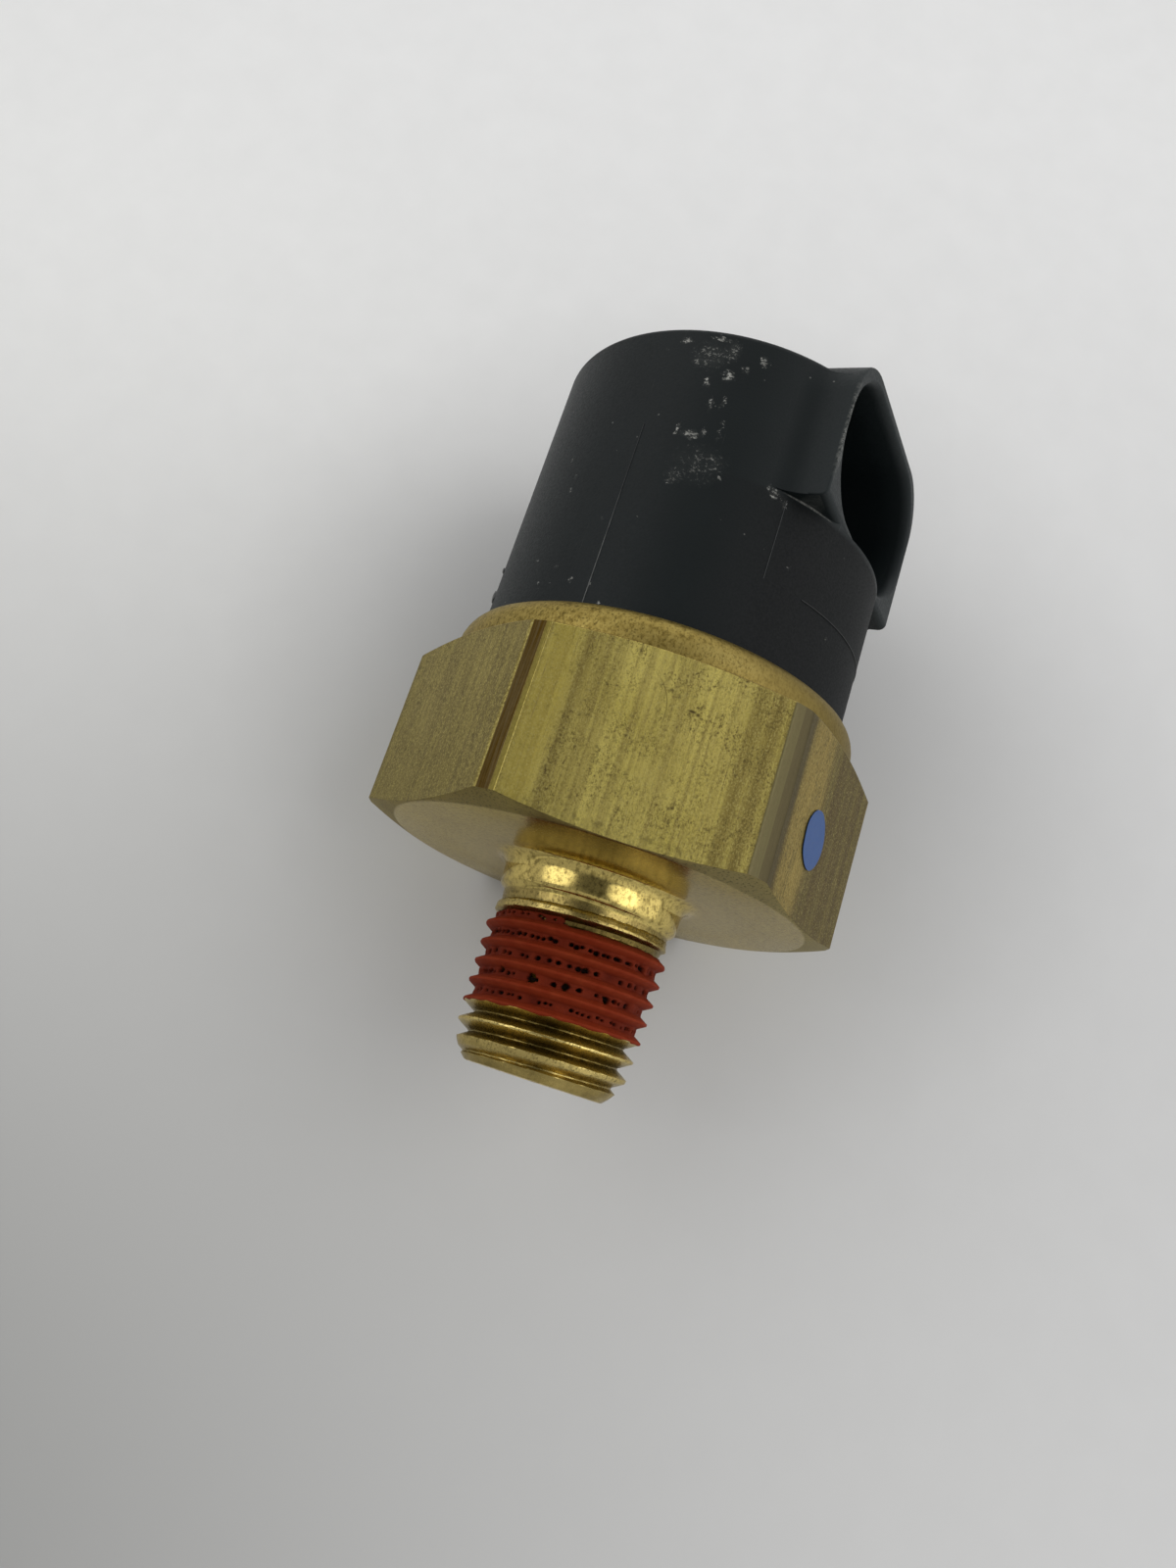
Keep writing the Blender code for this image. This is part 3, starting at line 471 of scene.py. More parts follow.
redSkin = {
    "steps": 384,
    "rows": 150,
    "first": -3.55,
    "last": -11.35,
    "thick": 0.07,
    "fill": 0.42,        # how far the grooves are filled
    "apart": 4.5,        # degrees between the small pits in a groove
    "rows of pits": {-1: (0.8, 0.07, 0.12), 0: (0.95, 0.11, 0.19), 1: (0.72, 0.11, 0.2), 2: (0.5, 0.09, 0.16),
                     3: (0.8, 0.08, 0.14)},  # by groove: how many are open, smallest and largest radius
    "pits": [(2.5, -83, 0.38, 0.31), (2.5, -60, 0.31, 0.27), (2.48, -51, 0.22, 0.18), (2.53, -31, 0.3, 0.24),
             (1.5, -51, 0.36, 0.2), (2.55, -68, 0.24, 0.16), (2.5, -12, 0.26, 0.2), (2.4, -108, 0.18, 0.2)],
}


def smallPit(azimuth, place):
    row = floor(place)
    if row not in redSkin["rows of pits"]:
        return 0
    share, least, largest = redSkin["rows of pits"][row]
    deepest = 0
    cell = floor(azimuth / redSkin["apart"])
    for near in (cell - 1, cell, cell + 1):
        luck = [(noise.cell(Vector((near + 0.5, row * 3.0 + 0.5, k + 0.5))) + 1) / 2 for k in (1, 5, 9, 14)]
        if luck[0] > share:
            continue
        along = radians(azimuth - (near + 0.2 + 0.6 * luck[1]) * redSkin["apart"]) * 6.1
        across = (place - row - 0.46 - 0.1 * luck[2]) * pipeThread["pitch"]
        size = least + (largest - least) * luck[3]
        deepest = max(deepest, 1 - ease(0.6, 1.15, hypot(along * 0.8, across) / size))
    return deepest


def skinEdges(angle):
    azimuth = angle * 180 / pi
    where = Vector((cos(angle) * 3, sin(angle) * 3, 0))
    upper = -0.36 - 0.32 * (ease(-71, -76, azimuth) if azimuth < -30 else 0) + 0.07 * noise.noise(where * 2.2)
    lower = 4.1 + 0.08 * noise.noise(where * 1.9 + Vector((5, 0, 3)))
    return upper, lower


def makeSealant(finish):
    size = redSkin
    outer = line((6.5, size["last"]), (6.5, size["first"]), size["rows"])
    inner = [(5.2, size["first"]), (5.2, size["last"])]
    bm = spun(outer + inner, size["steps"])
    hollow = bm.verts.layers.float.new("pit")
    deep = bm.verts.layers.float.new("deep")
    for vert in bm.verts:
        x, y, z = vert.co / mm
        angle = atan2(y, x)
        metal = threadRadius(angle, z)
        under = metal - 0.1
        if hypot(x, y) < 6.2:
            radius = rootRadius(z) - 0.3
        else:
            place = threadPlace(angle, z)
            upper, lower = skinEdges(angle)
            cover = min(ease(upper - 0.04, upper + 0.06, place), ease(lower + 0.05, lower - 0.05, place))
            where = Vector((cos(angle) * 6.3, sin(angle) * 6.3, z))
            wave = noise.noise(where * 1.1)
            level = rootRadius(z) + size["fill"] + 0.16 * wave + 0.03 * noise.noise(where * 5)
            skin = max(metal + size["thick"] + 0.03 * noise.noise(where * 2.3), level)
            pit = smallPit(angle * 180 / pi, place)
            for groove, azimuth, length, width in size["pits"]:
                turn = (angle * 180 / pi - azimuth + 180) % 360 - 180
                if abs(turn) > 12:
                    continue
                along = radians(turn) * 6.1 / length
                across = (place - groove) * pipeThread["pitch"] / width
                ragged = 1 + 0.4 * noise.noise(where * 3.7 + Vector((groove, 0, azimuth)))
                pit = max(pit, 1 - ease(0.6, 1.1, hypot(along, across) * ragged))
            skin = skin + (min(skin, rootRadius(z) + 0.05) - skin) * pit
            radius = under + (skin - under) * cover
            vert[hollow] = pit
            vert[deep] = min(1, max(0, (rootRadius(z) + pipeThread["depth"] - skin) / 0.7))
        vert.co.x, vert.co.y = radius * mm * cos(angle), radius * mm * sin(angle)
    tidy(bm)
    skin = putPiece("redSealant", bm, finish, sharp=80)
    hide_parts("thread_sealant")
    return skin


# paint dot on the flat that faces the socket side

paintDot = {"radius": 2.08, "y": -1.9, "z": 5.7, "base": 15.885}


def makeDot(finish):
    size = paintDot
    bm = bmesh.new()
    bmesh.ops.create_circle(bm, cap_ends=True, segments=72, radius=size["radius"] * mm)
    for share, rise in ((0.03, 0.025), (0.05, 0.02), (0.2, 0.02), (0.5, 0.015)):
        top = max(bm.faces, key=lambda face: face.calc_center_median().z + face.calc_area())
        bmesh.ops.inset_region(bm, faces=[top], thickness=share * size["radius"] * mm, depth=0)
        bmesh.ops.translate(bm, verts=top.verts[:], vec=(0, 0, rise * mm))
    for vert in bm.verts:
        wobble = 1 + 0.035 * noise.noise(Vector((vert.co.x, vert.co.y, 0)) * 900)
        vert.co.x *= wobble
        vert.co.y *= wobble
    under = bmesh.ops.extrude_edge_only(bm, edges=[edge for edge in bm.edges if edge.is_boundary])
    low = [v for v in under["geom"] if isinstance(v, bmesh.types.BMVert)]
    bmesh.ops.translate(bm, verts=low, vec=(0, 0, -0.03 * mm))
    bmesh.ops.holes_fill(bm, edges=[edge for edge in bm.edges if edge.is_boundary])
    place = Matrix.Translation(Vector((size["base"], size["y"], size["z"])) * mm)
    bmesh.ops.transform(bm, matrix=place @ Matrix.Rotation(pi / 2, 4, "Y"), verts=bm.verts[:])
    tidy(bm)
    dot = putPiece("paintDot", bm, finish, sharp=60)
    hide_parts("paint_dot")
    return dot


# black housing: turned cap, side boss, socket with a rounded mouth

blackCap = {
    "steps": 144,
    "profile": [(12.22, 11.48), (13.7, 11.48), (13.7, 12.48), (14.7, 12.48), (14.7, 13.98), (14.22, 13.98)],
    "top": 38.28,
    "topRadius": 14.18,
    "round": 0.5,
    "inside": [(0, 27.18), (10.92, 27.18), (10.92, 21.8), (12.22, 21.8)],
}
sideBoss = {
    "back": -5.2,
    "front": 13.1,
    "low": 27.55,
    "high": 40.07,
    "half": 9.85,
    "round": 4.2,
    "lowRound": 0.14,
    "edge": 0.18,
    "lowEdge": 0.6,
    "fillet": 3.8,
}
socketHole = {
    "back": -3.4,
    "low": 28.68,
    "high": 39.08,
    "half": 9.3,
    "round": 4.6,
    "flare": 0.48,
    "flareDeep": 0.9,
}
inside = {"pocketBack": -8.85, "pocketFront": -5.2, "pocketHalf": 7.8, "pocketLow": 26.43, "pocketTop": 35.88,
          "bladeZ": 33.88, "bladeY": (-5.2, 0, 5.2), "slotHalf": 1.6, "slotHigh": 0.6}


def capRadius(z):
    return 14.22 - 0.04 * (z - 13.98) / (37.78 - 13.98)


def roundedOutline(half, low, high, lowRound, highRound, grow=0, steps=12):
    half, low, high = half + grow, low - grow, high + grow
    lowRound, highRound = lowRound + grow, highRound + grow
    return (arc(half - lowRound, low + lowRound, lowRound, -90, 0, steps)
            + arc(half - highRound, high - highRound, highRound, 0, 90, steps)
            + arc(-half + highRound, high - highRound, highRound, 90, 180, steps)
            + arc(-half + lowRound, low + lowRound, lowRound, 180, 270, steps))


def loftedX(outlines):
    bm = bmesh.new()
    loops = []
    for x, outline in outlines:
        verts = [bm.verts.new((x * mm, y * mm, z * mm)) for y, z in outline]
        loops.append([bm.edges.new((verts[i - 1], verts[i])) for i in range(len(verts))])
    for before, after in zip(loops, loops[1:]):
        bmesh.ops.bridge_loops(bm, edges=before + after)
    for loop in (loops[0], loops[-1]):
        bmesh.ops.edgeloop_fill(bm, edges=loop)
    tidy(bm)
    return bm


def boxOf(low, high):
    bm = bmesh.new()
    bmesh.ops.create_cube(bm, size=1)
    low, high = Vector(low) * mm, Vector(high) * mm
    bmesh.ops.transform(bm, matrix=Matrix.Translation((low + high) / 2) @ Matrix.Diagonal((*(high - low), 1)),
                        verts=bm.verts[:])
    bmesh.ops.recalc_face_normals(bm, faces=bm.faces[:])
    return bm


def joined(bm, operation, tool):
    held = []
    for name, shape in (("base", bm), ("tool", tool)):
        mesh = bpy.data.meshes.new(name)
        shape.to_mesh(mesh)
        shape.free()
        thing = bpy.data.objects.new(name, mesh)
        scene.collection.objects.link(thing)
        held.append(thing)
    step = held[0].modifiers.new("join", "BOOLEAN")
    step.operation = operation
    step.solver = "EXACT"
    step.object = held[1]
    bpy.context.view_layer.update()
    made = held[0].evaluated_get(bpy.context.evaluated_depsgraph_get())
    result = bmesh.new()
    result.from_mesh(made.to_mesh())
    made.to_mesh_clear()
    for thing in held:
        mesh = thing.data
        bpy.data.objects.remove(thing, do_unlink=True)
        bpy.data.meshes.remove(mesh)
    return result


def bossHalf(z):
    above = max(0, z - sideBoss["high"] + sideBoss["round"])
    return sideBoss["half"] - sideBoss["round"] + sqrt(sideBoss["round"] ** 2 - above ** 2)


def bossSection(x):
    def drawnIn(edge):
        return edge - sqrt(edge ** 2 - max(0, x - sideBoss["front"] + edge) ** 2)

    inward = drawnIn(sideBoss["edge"])
    return x, roundedOutline(sideBoss["half"] - inward, sideBoss["low"] + drawnIn(sideBoss["lowEdge"]),
                             sideBoss["high"] - inward, sideBoss["lowRound"], sideBoss["round"] - inward)


def filletPrism(side):
    # soft corner where the boss leaves the round cap
    bm = bmesh.new()
    loops = []
    radius = sideBoss["fillet"]
    for z in (sideBoss["low"], 30, 33, 35.8, 36.4, 37, 37.4, 37.75):
        wall, y = capRadius(min(z, 37.78)), bossHalf(z) + radius
        x = sqrt((wall + radius) ** 2 - y ** 2)
        bend = arc(x, y, radius, -90, atan2(-y, -x) * 180 / pi, 10)
        bend += [(x - 1.6 * radius - 0.3, y - radius - 1.2), (x, y - radius - 1.2)]
        verts = [bm.verts.new((u * mm, v * side * mm, z * mm)) for u, v in bend]
        loops.append([bm.edges.new((verts[i - 1], verts[i])) for i in range(len(verts))])
    for before, after in zip(loops, loops[1:]):
        bmesh.ops.bridge_loops(bm, edges=before + after)
    for loop in (loops[0], loops[-1]):
        bmesh.ops.edgeloop_fill(bm, edges=loop)
    tidy(bm)
    return bm


def makeHousing(finish):
    cap, boss, hole = blackCap, sideBoss, socketHole
    wall = line(cap["profile"][-1], (cap["topRadius"], cap["top"] - cap["round"]), 10)[1:]
    rim = arc(cap["topRadius"] - cap["round"], cap["top"] - cap["round"], cap["round"], 0, 90, 6)[1:]
    bm = spun(cap["profile"] + wall + rim + [(0, cap["top"])] + cap["inside"], cap["steps"])
    far = 40
    beyond = boxOf((boss["front"] - 0.1, -far, boss["low"]), (far, far, far + boss["high"]))
    bm = joined(bm, "DIFFERENCE", beyond)
    front = boss["front"]
    places = [front - boss["lowEdge"] * (1 - sin(radians(a))) for a in (0, 15, 30)]
    places += [front - boss["edge"] * (1 - sin(radians(a))) for a in (0, 25, 50, 70, 90)]
    sections = [bossSection(x) for x in [boss["back"]] + places]
    bm = joined(bm, "UNION", loftedX(sections))
    for side in (-1, 1):
        bm = joined(bm, "UNION", filletPrism(side))
    flare, deep = hole["flare"], hole["flareDeep"]
    outline = (hole["half"], hole["low"], hole["high"], hole["round"], hole["round"])
    sections = [(hole["back"], roundedOutline(*outline))]
    for i in range(7):
        a = radians(15 * i)
        grown = roundedOutline(*outline, grow=flare * (1 - cos(a)))
        sections.append((boss["front"] - deep + deep * sin(a), grown))
    sections.append((boss["front"] + 2, sections[-1][1]))
    bm = joined(bm, "DIFFERENCE", loftedX(sections))
    bm = joined(bm, "DIFFERENCE", boxOf((inside["pocketBack"], -inside["pocketHalf"], inside["pocketLow"]),
                                        (inside["pocketFront"], inside["pocketHalf"], inside["pocketTop"])))
    for y in inside["bladeY"]:
        bm = joined(bm, "DIFFERENCE", boxOf(
            (inside["pocketFront"] - 1, y - inside["slotHalf"], inside["bladeZ"] - inside["slotHigh"]),
            (hole["back"] + 1, y + inside["slotHalf"], inside["bladeZ"] + inside["slotHigh"])))
    tidy(bm, 2e-7)
    housing = putPiece("blackHousing", bm, finish, sharp=32)
    shade = housing.modifiers.new("evenShade", "WEIGHTED_NORMAL")
    shade.keep_sharp = True
    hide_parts("housing")
    return housing


# marks of the mould on the housing

mouldMarks = {
    "lines": [(-89.6, 14.9, 30.0, 0.05), (90.4, 14.9, 37.6, 0.05), (-43.4, 20.9, 27, 0.03),
              (43.4, 20.9, 27, 0.03)],
    "wide": 0.1,
    "ring": (20.9, -30, 43, 0.05),
    "flash": [(-142, 20.5, 0.16, 0.3, 0.22), (-143, 18.3, 0.18, 0.34, 0.5)],
}


def makeMarks(finish):
    bm = bmesh.new()
    for azimuth, low, high, rise in mouldMarks["lines"]:
        made = bmesh.ops.create_cube(bm, size=1)["verts"]
        for vert in made:
            z = low + (vert.co.z + 0.5) * (high - low)
            out = capRadius(z) + (rise if vert.co.x > 0 else -0.1)
            vert.co = (out * mm, vert.co.y * (0.4 if vert.co.x > 0 else 1) * mouldMarks["wide"] * mm, z * mm)
        bmesh.ops.rotate(bm, verts=made, cent=(0, 0, 0), matrix=Matrix.Rotation(radians(azimuth), 3, "Z"))
    for azimuth, z, out, wide, tall in mouldMarks["flash"]:
        made = bmesh.ops.create_icosphere(bm, subdivisions=3, radius=1)["verts"]
        for vert in made:
            lump = 1 + 0.25 * noise.noise(vert.co * 1.7)
            u, v, w = vert.co * lump
            vert.co = Vector((out * u + capRadius(z), wide * v, tall * w + z)) * mm
        bmesh.ops.rotate(bm, verts=made, cent=(0, 0, 0), matrix=Matrix.Rotation(radians(azimuth), 3, "Z"))
    z, start, end, rise = mouldMarks["ring"]
    made = [bm.verts.new(((capRadius(z) + out) * mm, 0, (z + up) * mm))
            for out, up in ((-0.1, -0.06), (rise, -0.03), (rise, 0.03), (-0.1, 0.06))]
    bmesh.ops.rotate(bm, verts=made, cent=(0, 0, 0), matrix=Matrix.Rotation(radians(start), 3, "Z"))
    face = bm.faces.new(made)
    bmesh.ops.spin(bm, geom=[face], cent=(0, 0, 0), axis=(0, 0, 1), angle=radians(end - start), steps=72)
    bmesh.ops.holes_fill(bm, edges=[edge for edge in bm.edges if edge.is_boundary])
    tidy(bm)
    marks = putPiece("mouldMarks", bm, finish, sharp=50)
    return marks


# finishes

# one row for each flat, the +X flat first, turning left; besides tarnish the rows hold painted light, the -60
# degree flat brightened most and the +X and -120 degree flats darkened
flatTintsAndLight = [(0.52, 0.49, 0.56), (0.95, 0.93, 1), (0.9, 0.9, 1), (1, 1, 1), (0.75, 0.73, 0.8),
             (1.65, 1.65, 1.58)]
flatStreaks = [(level,) * 3 for level in (0.95, 0.5, 0.6, 0.4, 0.55, 0.52)]
# streaks that the drawing die left across the middle flat: place, level
dieMarks = [(0.0, 0.3), (0.05, 0.0), (0.17, 0.0), (0.2, 0.6), (0.23, 0.2), (0.3, 0.25), (0.34, 0.0),
            (0.78, 0.0), (0.825, 0.8), (0.86, 0.2), (0.89, 0.85), (0.92, 0.1), (0.96, 0.9)]
cornerTints = [linear(140, 124, 70), linear(130, 112, 56), linear(118, 104, 64), linear(140, 124, 70),
               linear(66, 49, 13), linear(98, 92, 64)]


def brassFinish():
    finish, tree, shader, place = startFinish("tarnishedBrass", 0.4, metallic=1)
    shader.inputs["Specular Tint"].default_value = (0.93, 0.89, 0.78, 1)
    x, y, z = parts(tree, place)
    radius = radiusOf(tree, place)
    normalZ = parts(tree, addNode(tree, "ShaderNodeNewGeometry").outputs["Normal"])["Z"]
    azimuth = azimuthOf(tree, x, y)
    face = calc(tree, "FLOOR", calc(tree, "DIVIDE", calc(tree, "ADD", azimuth, 30), 60))
    face = calc(tree, "FLOORED_MODULO", face, 6)
    corner = calc(tree, "FLOORED_MODULO", calc(tree, "FLOOR", calc(tree, "DIVIDE", azimuth, 60)), 6)
    aside = calc(tree, "MULTIPLY", calc(tree, "SUBTRACT", azimuth, calc(tree, "MULTIPLY", face, 60)), pi / 180)
    across = calc(tree, "MULTIPLY", calc(tree, "SINE", aside), radius)
    onFace = flatMap(tree, across, z, face)
    faceShare = calc(tree, "DIVIDE", calc(tree, "ADD", face, 0.5), 6)
    cornerShare = calc(tree, "DIVIDE", calc(tree, "ADD", corner, 0.5), 6)

    upright = fromTo(tree, calc(tree, "ABSOLUTE", normalZ), 0.35, 0.15)
    flat = both(tree, upright, fromTo(tree, radius, 15.62, 15.7))
    leftCorner = fromTo(tree, offFrom(tree, azimuth, 90.2), 1.75, 1.45)
    onLand = fromTo(tree, radius, 17.82, 17.87)
    margin = both(tree, onLand, fromTo(tree, offFrom(tree, azimuth, 88.05), 0.62, 0.5))
    otherCorners = both(tree, onLand, fromTo(tree, offFrom(tree, azimuth, 90), 25, 26))
    land = both(tree, flat, most(tree, leftCorner, otherCorners))
    under = both(tree, fromTo(tree, normalZ, -0.7, -0.9), fromTo(tree, z, -0.3, -0.1))
    collar = both(tree, fromTo(tree, z, 12.3, 12.6), calc(tree, "SUBTRACT", 1, flat))
    neck = both(tree, fromTo(tree, z, -2.75, -2.5), fromTo(tree, z, 0.05, -0.05))
    thread = fromTo(tree, z, -2.5, -2.75)

    # drawn flats: long streaks, grain and pits, a different tint on each
    streak = grain(tree, stretched(tree, onFace, (1.7, 0.02, 31)), 1.0, 7, 0.7)
    fine = grain(tree, stretched(tree, onFace, (9, 0.2, 31)), 1.0, 3, 0.6)
    speck = grain(tree, stretched(tree, place, (6, 6, 4.2)), 1.0, 3, 0.6)
    fleck = grain(tree, stretched(tree, place, (2.6, 2.6, 2.2)), 1.0, 4, 0.65)
    cloud = grain(tree, place, 0.16, 4, 0.6)
    colour = tint(tree, fromTo(tree, cloud, 0.35, 0.65), (0.375, 0.312, 0.078, 1), (0.45, 0.378, 0.108, 1))
    contrast = steps(tree, faceShare, flatStreaks)
    streaky = tint(tree, fromTo(tree, streak, 0.59, 0.41), colour, (0.14, 0.1, 0.036, 1))
    colour = tint(tree, contrast, colour, streaky)
    middle = patch(tree, onFace, (0, 6.5, 5), (30, 30, 0.4), 0.1)
    die = bands(tree, fromTo(tree, across, -9.2, 9.2), dieMarks)
    die = both(tree, middle, die, fromTo(tree, fine, 0.2, 0.48))
    colour = tint(tree, die, colour, (0.115, 0.082, 0.025, 1))
    smooth = both(tree, middle, patch(tree, onFace, (-7.2, 6.5, 5), (1.5, 12, 0.4), 0.5))
    colour = tint(tree, calc(tree, "MULTIPLY", smooth, 0.6), colour, (0.315, 0.25, 0.05, 1))
    ends = fromTo(tree, calc(tree, "ABSOLUTE", across), 4.8, 7.5, 0, 0.17)
    colour = tint(tree, both(tree, middle, ends), colour, (0.1, 0.08, 0.034, 1))
    wood = grain(tree, stretched(tree, onFace, (0.75, 0.035, 31)), 1.0, 3, 0.6)
    socketSide = patch(tree, onFace, (0, 6.5, 0), (30, 30, 0.4), 0.1)
    wood = both(tree, socketSide, fromTo(tree, wood, 0.56, 0.42, 0, 0.8))
    colour = tint(tree, wood, colour, (0.16, 0.1, 0.032, 1))
    rightPale = patch(tree, onFace, (-4.6, 6.5, 0), (3.2, 14, 0.4), 0.4)
    rightPale = both(tree, rightPale, fromTo(tree, fine, 0.3, 0.6, 0.25, 0.85))
    colour = tint(tree, rightPale, colour, (0.9, 0.7, 0.17, 1))
    colour = tint(tree, both(tree, flat, fromTo(tree, fine, 0.42, 0.25)), colour, (0.2, 0.15, 0.055, 1))
    # painted light: each flat's tarnish colour is scaled by how brightly that flat is lit
    colour = tint(tree, 1, colour, steps(tree, faceShare, flatTintsAndLight), "MULTIPLY")
    grainy = calc(tree, "SUBTRACT", 1, calc(tree, "MULTIPLY", smooth, 0.6))
    pepper = grain(tree, stretched(tree, place, (10, 10, 7)), 1.0, 2, 0.6)
    salt = both(tree, flat, fromTo(tree, pepper, 0.52, 0.66, 0, 0.5))
    colour = tint(tree, salt, colour, (0.6, 0.52, 0.19, 1))
    grainy = both(tree, grainy, fromTo(tree, grain(tree, place, 0.5, 3), 0.36, 0.6, 0.35, 1))
    dark = most(tree, fromTo(tree, speck, 0.51, 0.31, 0, 0.95), fromTo(tree, fleck, 0.46, 0.3, 0, 0.95),
                fromTo(tree, pepper, 0.47, 0.3, 0, 0.75))
    dark = both(tree, grainy, dark)
    dark = most(tree, dark, patch(tree, onFace, (2.0, 9.5, 5), (0.42, 0.16, 0.4), 0.7),
                patch(tree, onFace, (2.4, 9.4, 5), (0.22, 0.2, 0.4), 0.8))
    hair = farFrom(tree, onFace, (-2.7, 8.75, 5))
    hair = both(tree, fromTo(tree, calc(tree, "ABSOLUTE", calc(tree, "SUBTRACT", hair, 3.1)), 0.06, 0.02),
                patch(tree, onFace, (0.3, 9.9, 5), (1.2, 1.9, 0.4), 0.2))
    grime = both(tree, flat, fromTo(tree, z, 2.2, 0.2), fromTo(tree, fleck, 0.5, 0.36))
    dark = most(tree, dark, calc(tree, "MULTIPLY", hair, 0.6), calc(tree, "MULTIPLY", grime, 0.7))
    colour = tint(tree, dark, colour, (0.11, 0.082, 0.03, 1))
    corners = steps(tree, cornerShare, cornerTints)
    corners = tint(tree, fromTo(tree, fine, 0.65, 0.3, 0, 0.6), corners, (0.11, 0.085, 0.045, 1))
    # painted shade: the right part of the left land is darkened to the middle flat's tone, hiding its bright
    # reflection of the left window
    colour = tint(tree, calc(tree, "MULTIPLY", margin, 0.95), colour, (0.135, 0.108, 0.026, 1))
    colour = tint(tree, land, colour, corners)
    greyEdge = patch(tree, onFace, (-9.2, 6.5, 0), (2.1, 30, 0.4), 0.25)
    greyEdge = both(tree, greyEdge, flat, fromTo(tree, fine, 0.2, 0.6, 0.5, 0.95))
    colour = tint(tree, greyEdge, colour, linear(85, 77, 56))

    # turned faces: rings on the underside, a browner grainy collar, a polished neck
    aroundIt = fromTo(tree, azimuth, -180, 180, 0, 0.4)
    rings = grain(tree, flatMap(tree, calc(tree, "MULTIPLY", radius, 5), aroundIt), 1.0, 5, 0.7)
    turned = tint(tree, fromTo(tree, rings, 0.3, 0.7), (0.36, 0.285, 0.065, 1), (0.5, 0.41, 0.13, 1))
    turned = tint(tree, fromTo(tree, cloud, 0.42, 0.6, 0, 0.8), turned, (0.25, 0.19, 0.05, 1))
    smear = grain(tree, stretched(tree, place, (0.5, 0.16, 1), turn=(0, 0, 0.5)), 1.0, 5, 0.65)
    # darker smears towards +X: partly dirt, partly painted shade for the underside's dimmer reflection on that
    # side
    smear = both(tree, fromTo(tree, x, -5, 11), fromTo(tree, smear, 0.35, 0.55, 0.6, 1))
    turned = tint(tree, smear, turned, (0.085, 0.066, 0.02, 1))
    turned = tint(tree, fromTo(tree, radius, 9.6, 7.8, 0, 0.75), turned, (0.26, 0.18, 0.035, 1))
    rim = fromTo(tree, radius, 15.6, 15.66)
    turned = tint(tree, both(tree, rim, fromTo(tree, x, 4, -2, 0, 0.6)), turned, (0.17, 0.125, 0.04, 1))
    # painted light: the underside's chamfer lightened towards +X, where it reflects the table's shade
    turned = tint(tree, both(tree, rim, fromTo(tree, x, 2, 8, 0, 0.7)), turned, (0.34, 0.28, 0.11, 1))
    dots = both(tree, fromTo(tree, speck, 0.46, 0.33), fromTo(tree, radius, 8, 15, 0.55, 0.85))
    turned = tint(tree, dots, turned, (0.06, 0.045, 0.015, 1))
    colour = tint(tree, under, colour, turned)
    brown = tint(tree, fromTo(tree, fleck, 0.35, 0.65), (0.24, 0.172, 0.042, 1), (0.36, 0.275, 0.08, 1))
    gilt = patch(tree, flatMap(tree, azimuth, z), (-47, 14.0, 0), (13, 0.8, 1), 0.7)
    brown = tint(tree, both(tree, gilt, fromTo(tree, pepper, 0.35, 0.6)), brown, (0.4, 0.315, 0.1, 1))
    dots = most(tree, fromTo(tree, speck, 0.5, 0.3, 0, 0.85), fromTo(tree, fleck, 0.44, 0.28, 0, 0.85))
    brown = tint(tree, dots, brown, (0.085, 0.06, 0.015, 1))
    # painted shade: the collar darkened from -62 degrees towards -34 degrees, its right side
    brown = tint(tree, fromTo(tree, azimuth, -62, -34, 0, 0.7), brown, (0.17, 0.125, 0.038, 1))
    colour = tint(tree, collar, colour, brown)
    bright = tint(tree, fromTo(tree, fleck, 0.52, 0.36, 0, 0.75), (0.68, 0.53, 0.17, 1), (0.22, 0.16, 0.042, 1))
    bright = tint(tree, fromTo(tree, pepper, 0.42, 0.3, 0, 0.85), bright, (0.09, 0.068, 0.024, 1))
    colour = tint(tree, neck, colour, bright)
    groove = addNode(tree, "ShaderNodeAttribute", attribute_name="groove").outputs["Fac"]
    dirty = tint(tree, fromTo(tree, calc(tree, "ADD", groove, calc(tree, "MULTIPLY", cloud, 0.5)), 0.25, 0.95),
                 (0.72, 0.56, 0.2, 1), (0.2, 0.145, 0.042, 1))
    dots = most(tree, fromTo(tree, speck, 0.48, 0.34, 0, 0.7), fromTo(tree, fleck, 0.48, 0.36, 0, 0.4))
    dirty = tint(tree, dots, dirty, (0.06, 0.045, 0.016, 1))
    # painted highlight: the end chamfer lightened towards bright gold
    lightenedEnd = both(tree, fromTo(tree, z, -13.5, -13.9), fromTo(tree, cloud, 0.42, 0.58, 0.1, 0.6))
    dirty = tint(tree, lightenedEnd, dirty, (0.66, 0.51, 0.18, 1))
    colour = tint(tree, thread, colour, dirty)
    feed(tree, shader.inputs["Base Color"], colour)

    gloss = fromTo(tree, speck, 0.3, 0.7, 0.5, 0.38)
    gloss = tint(tree, under, gloss, fromTo(tree, rings, 0.3, 0.7, 0.22, 0.1))
    outside = both(tree, under, fromTo(tree, radius, 9, 12))
    gloss = tint(tree, outside, gloss, fromTo(tree, speck, 0.35, 0.6, 0.42, 0.26))
    gloss = tint(tree, neck, gloss, fromTo(tree, speck, 0.3, 0.55, 0.18, 0.09))
    gloss = tint(tree, thread, gloss, fromTo(tree, speck, 0.3, 0.6, 0.4, 0.24))
    lowEdge = both(tree, fromTo(tree, z, 0.02, 0.06), fromTo(tree, z, 0.75, 0.7))
    gloss = tint(tree, lowEdge, gloss, (0.42, 0.42, 0.42, 1))
    feed(tree, shader.inputs["Roughness"], gloss)
    height = calc(tree, "MULTIPLY", speck, fromTo(tree, z, -0.4, 0.1, 0.12, 0.8))
    height = calc(tree, "ADD", height, calc(tree, "MULTIPLY", fine, both(tree, flat, contrast)))
    bumped(tree, shader, height, 0.012, 0.7)
    return finish


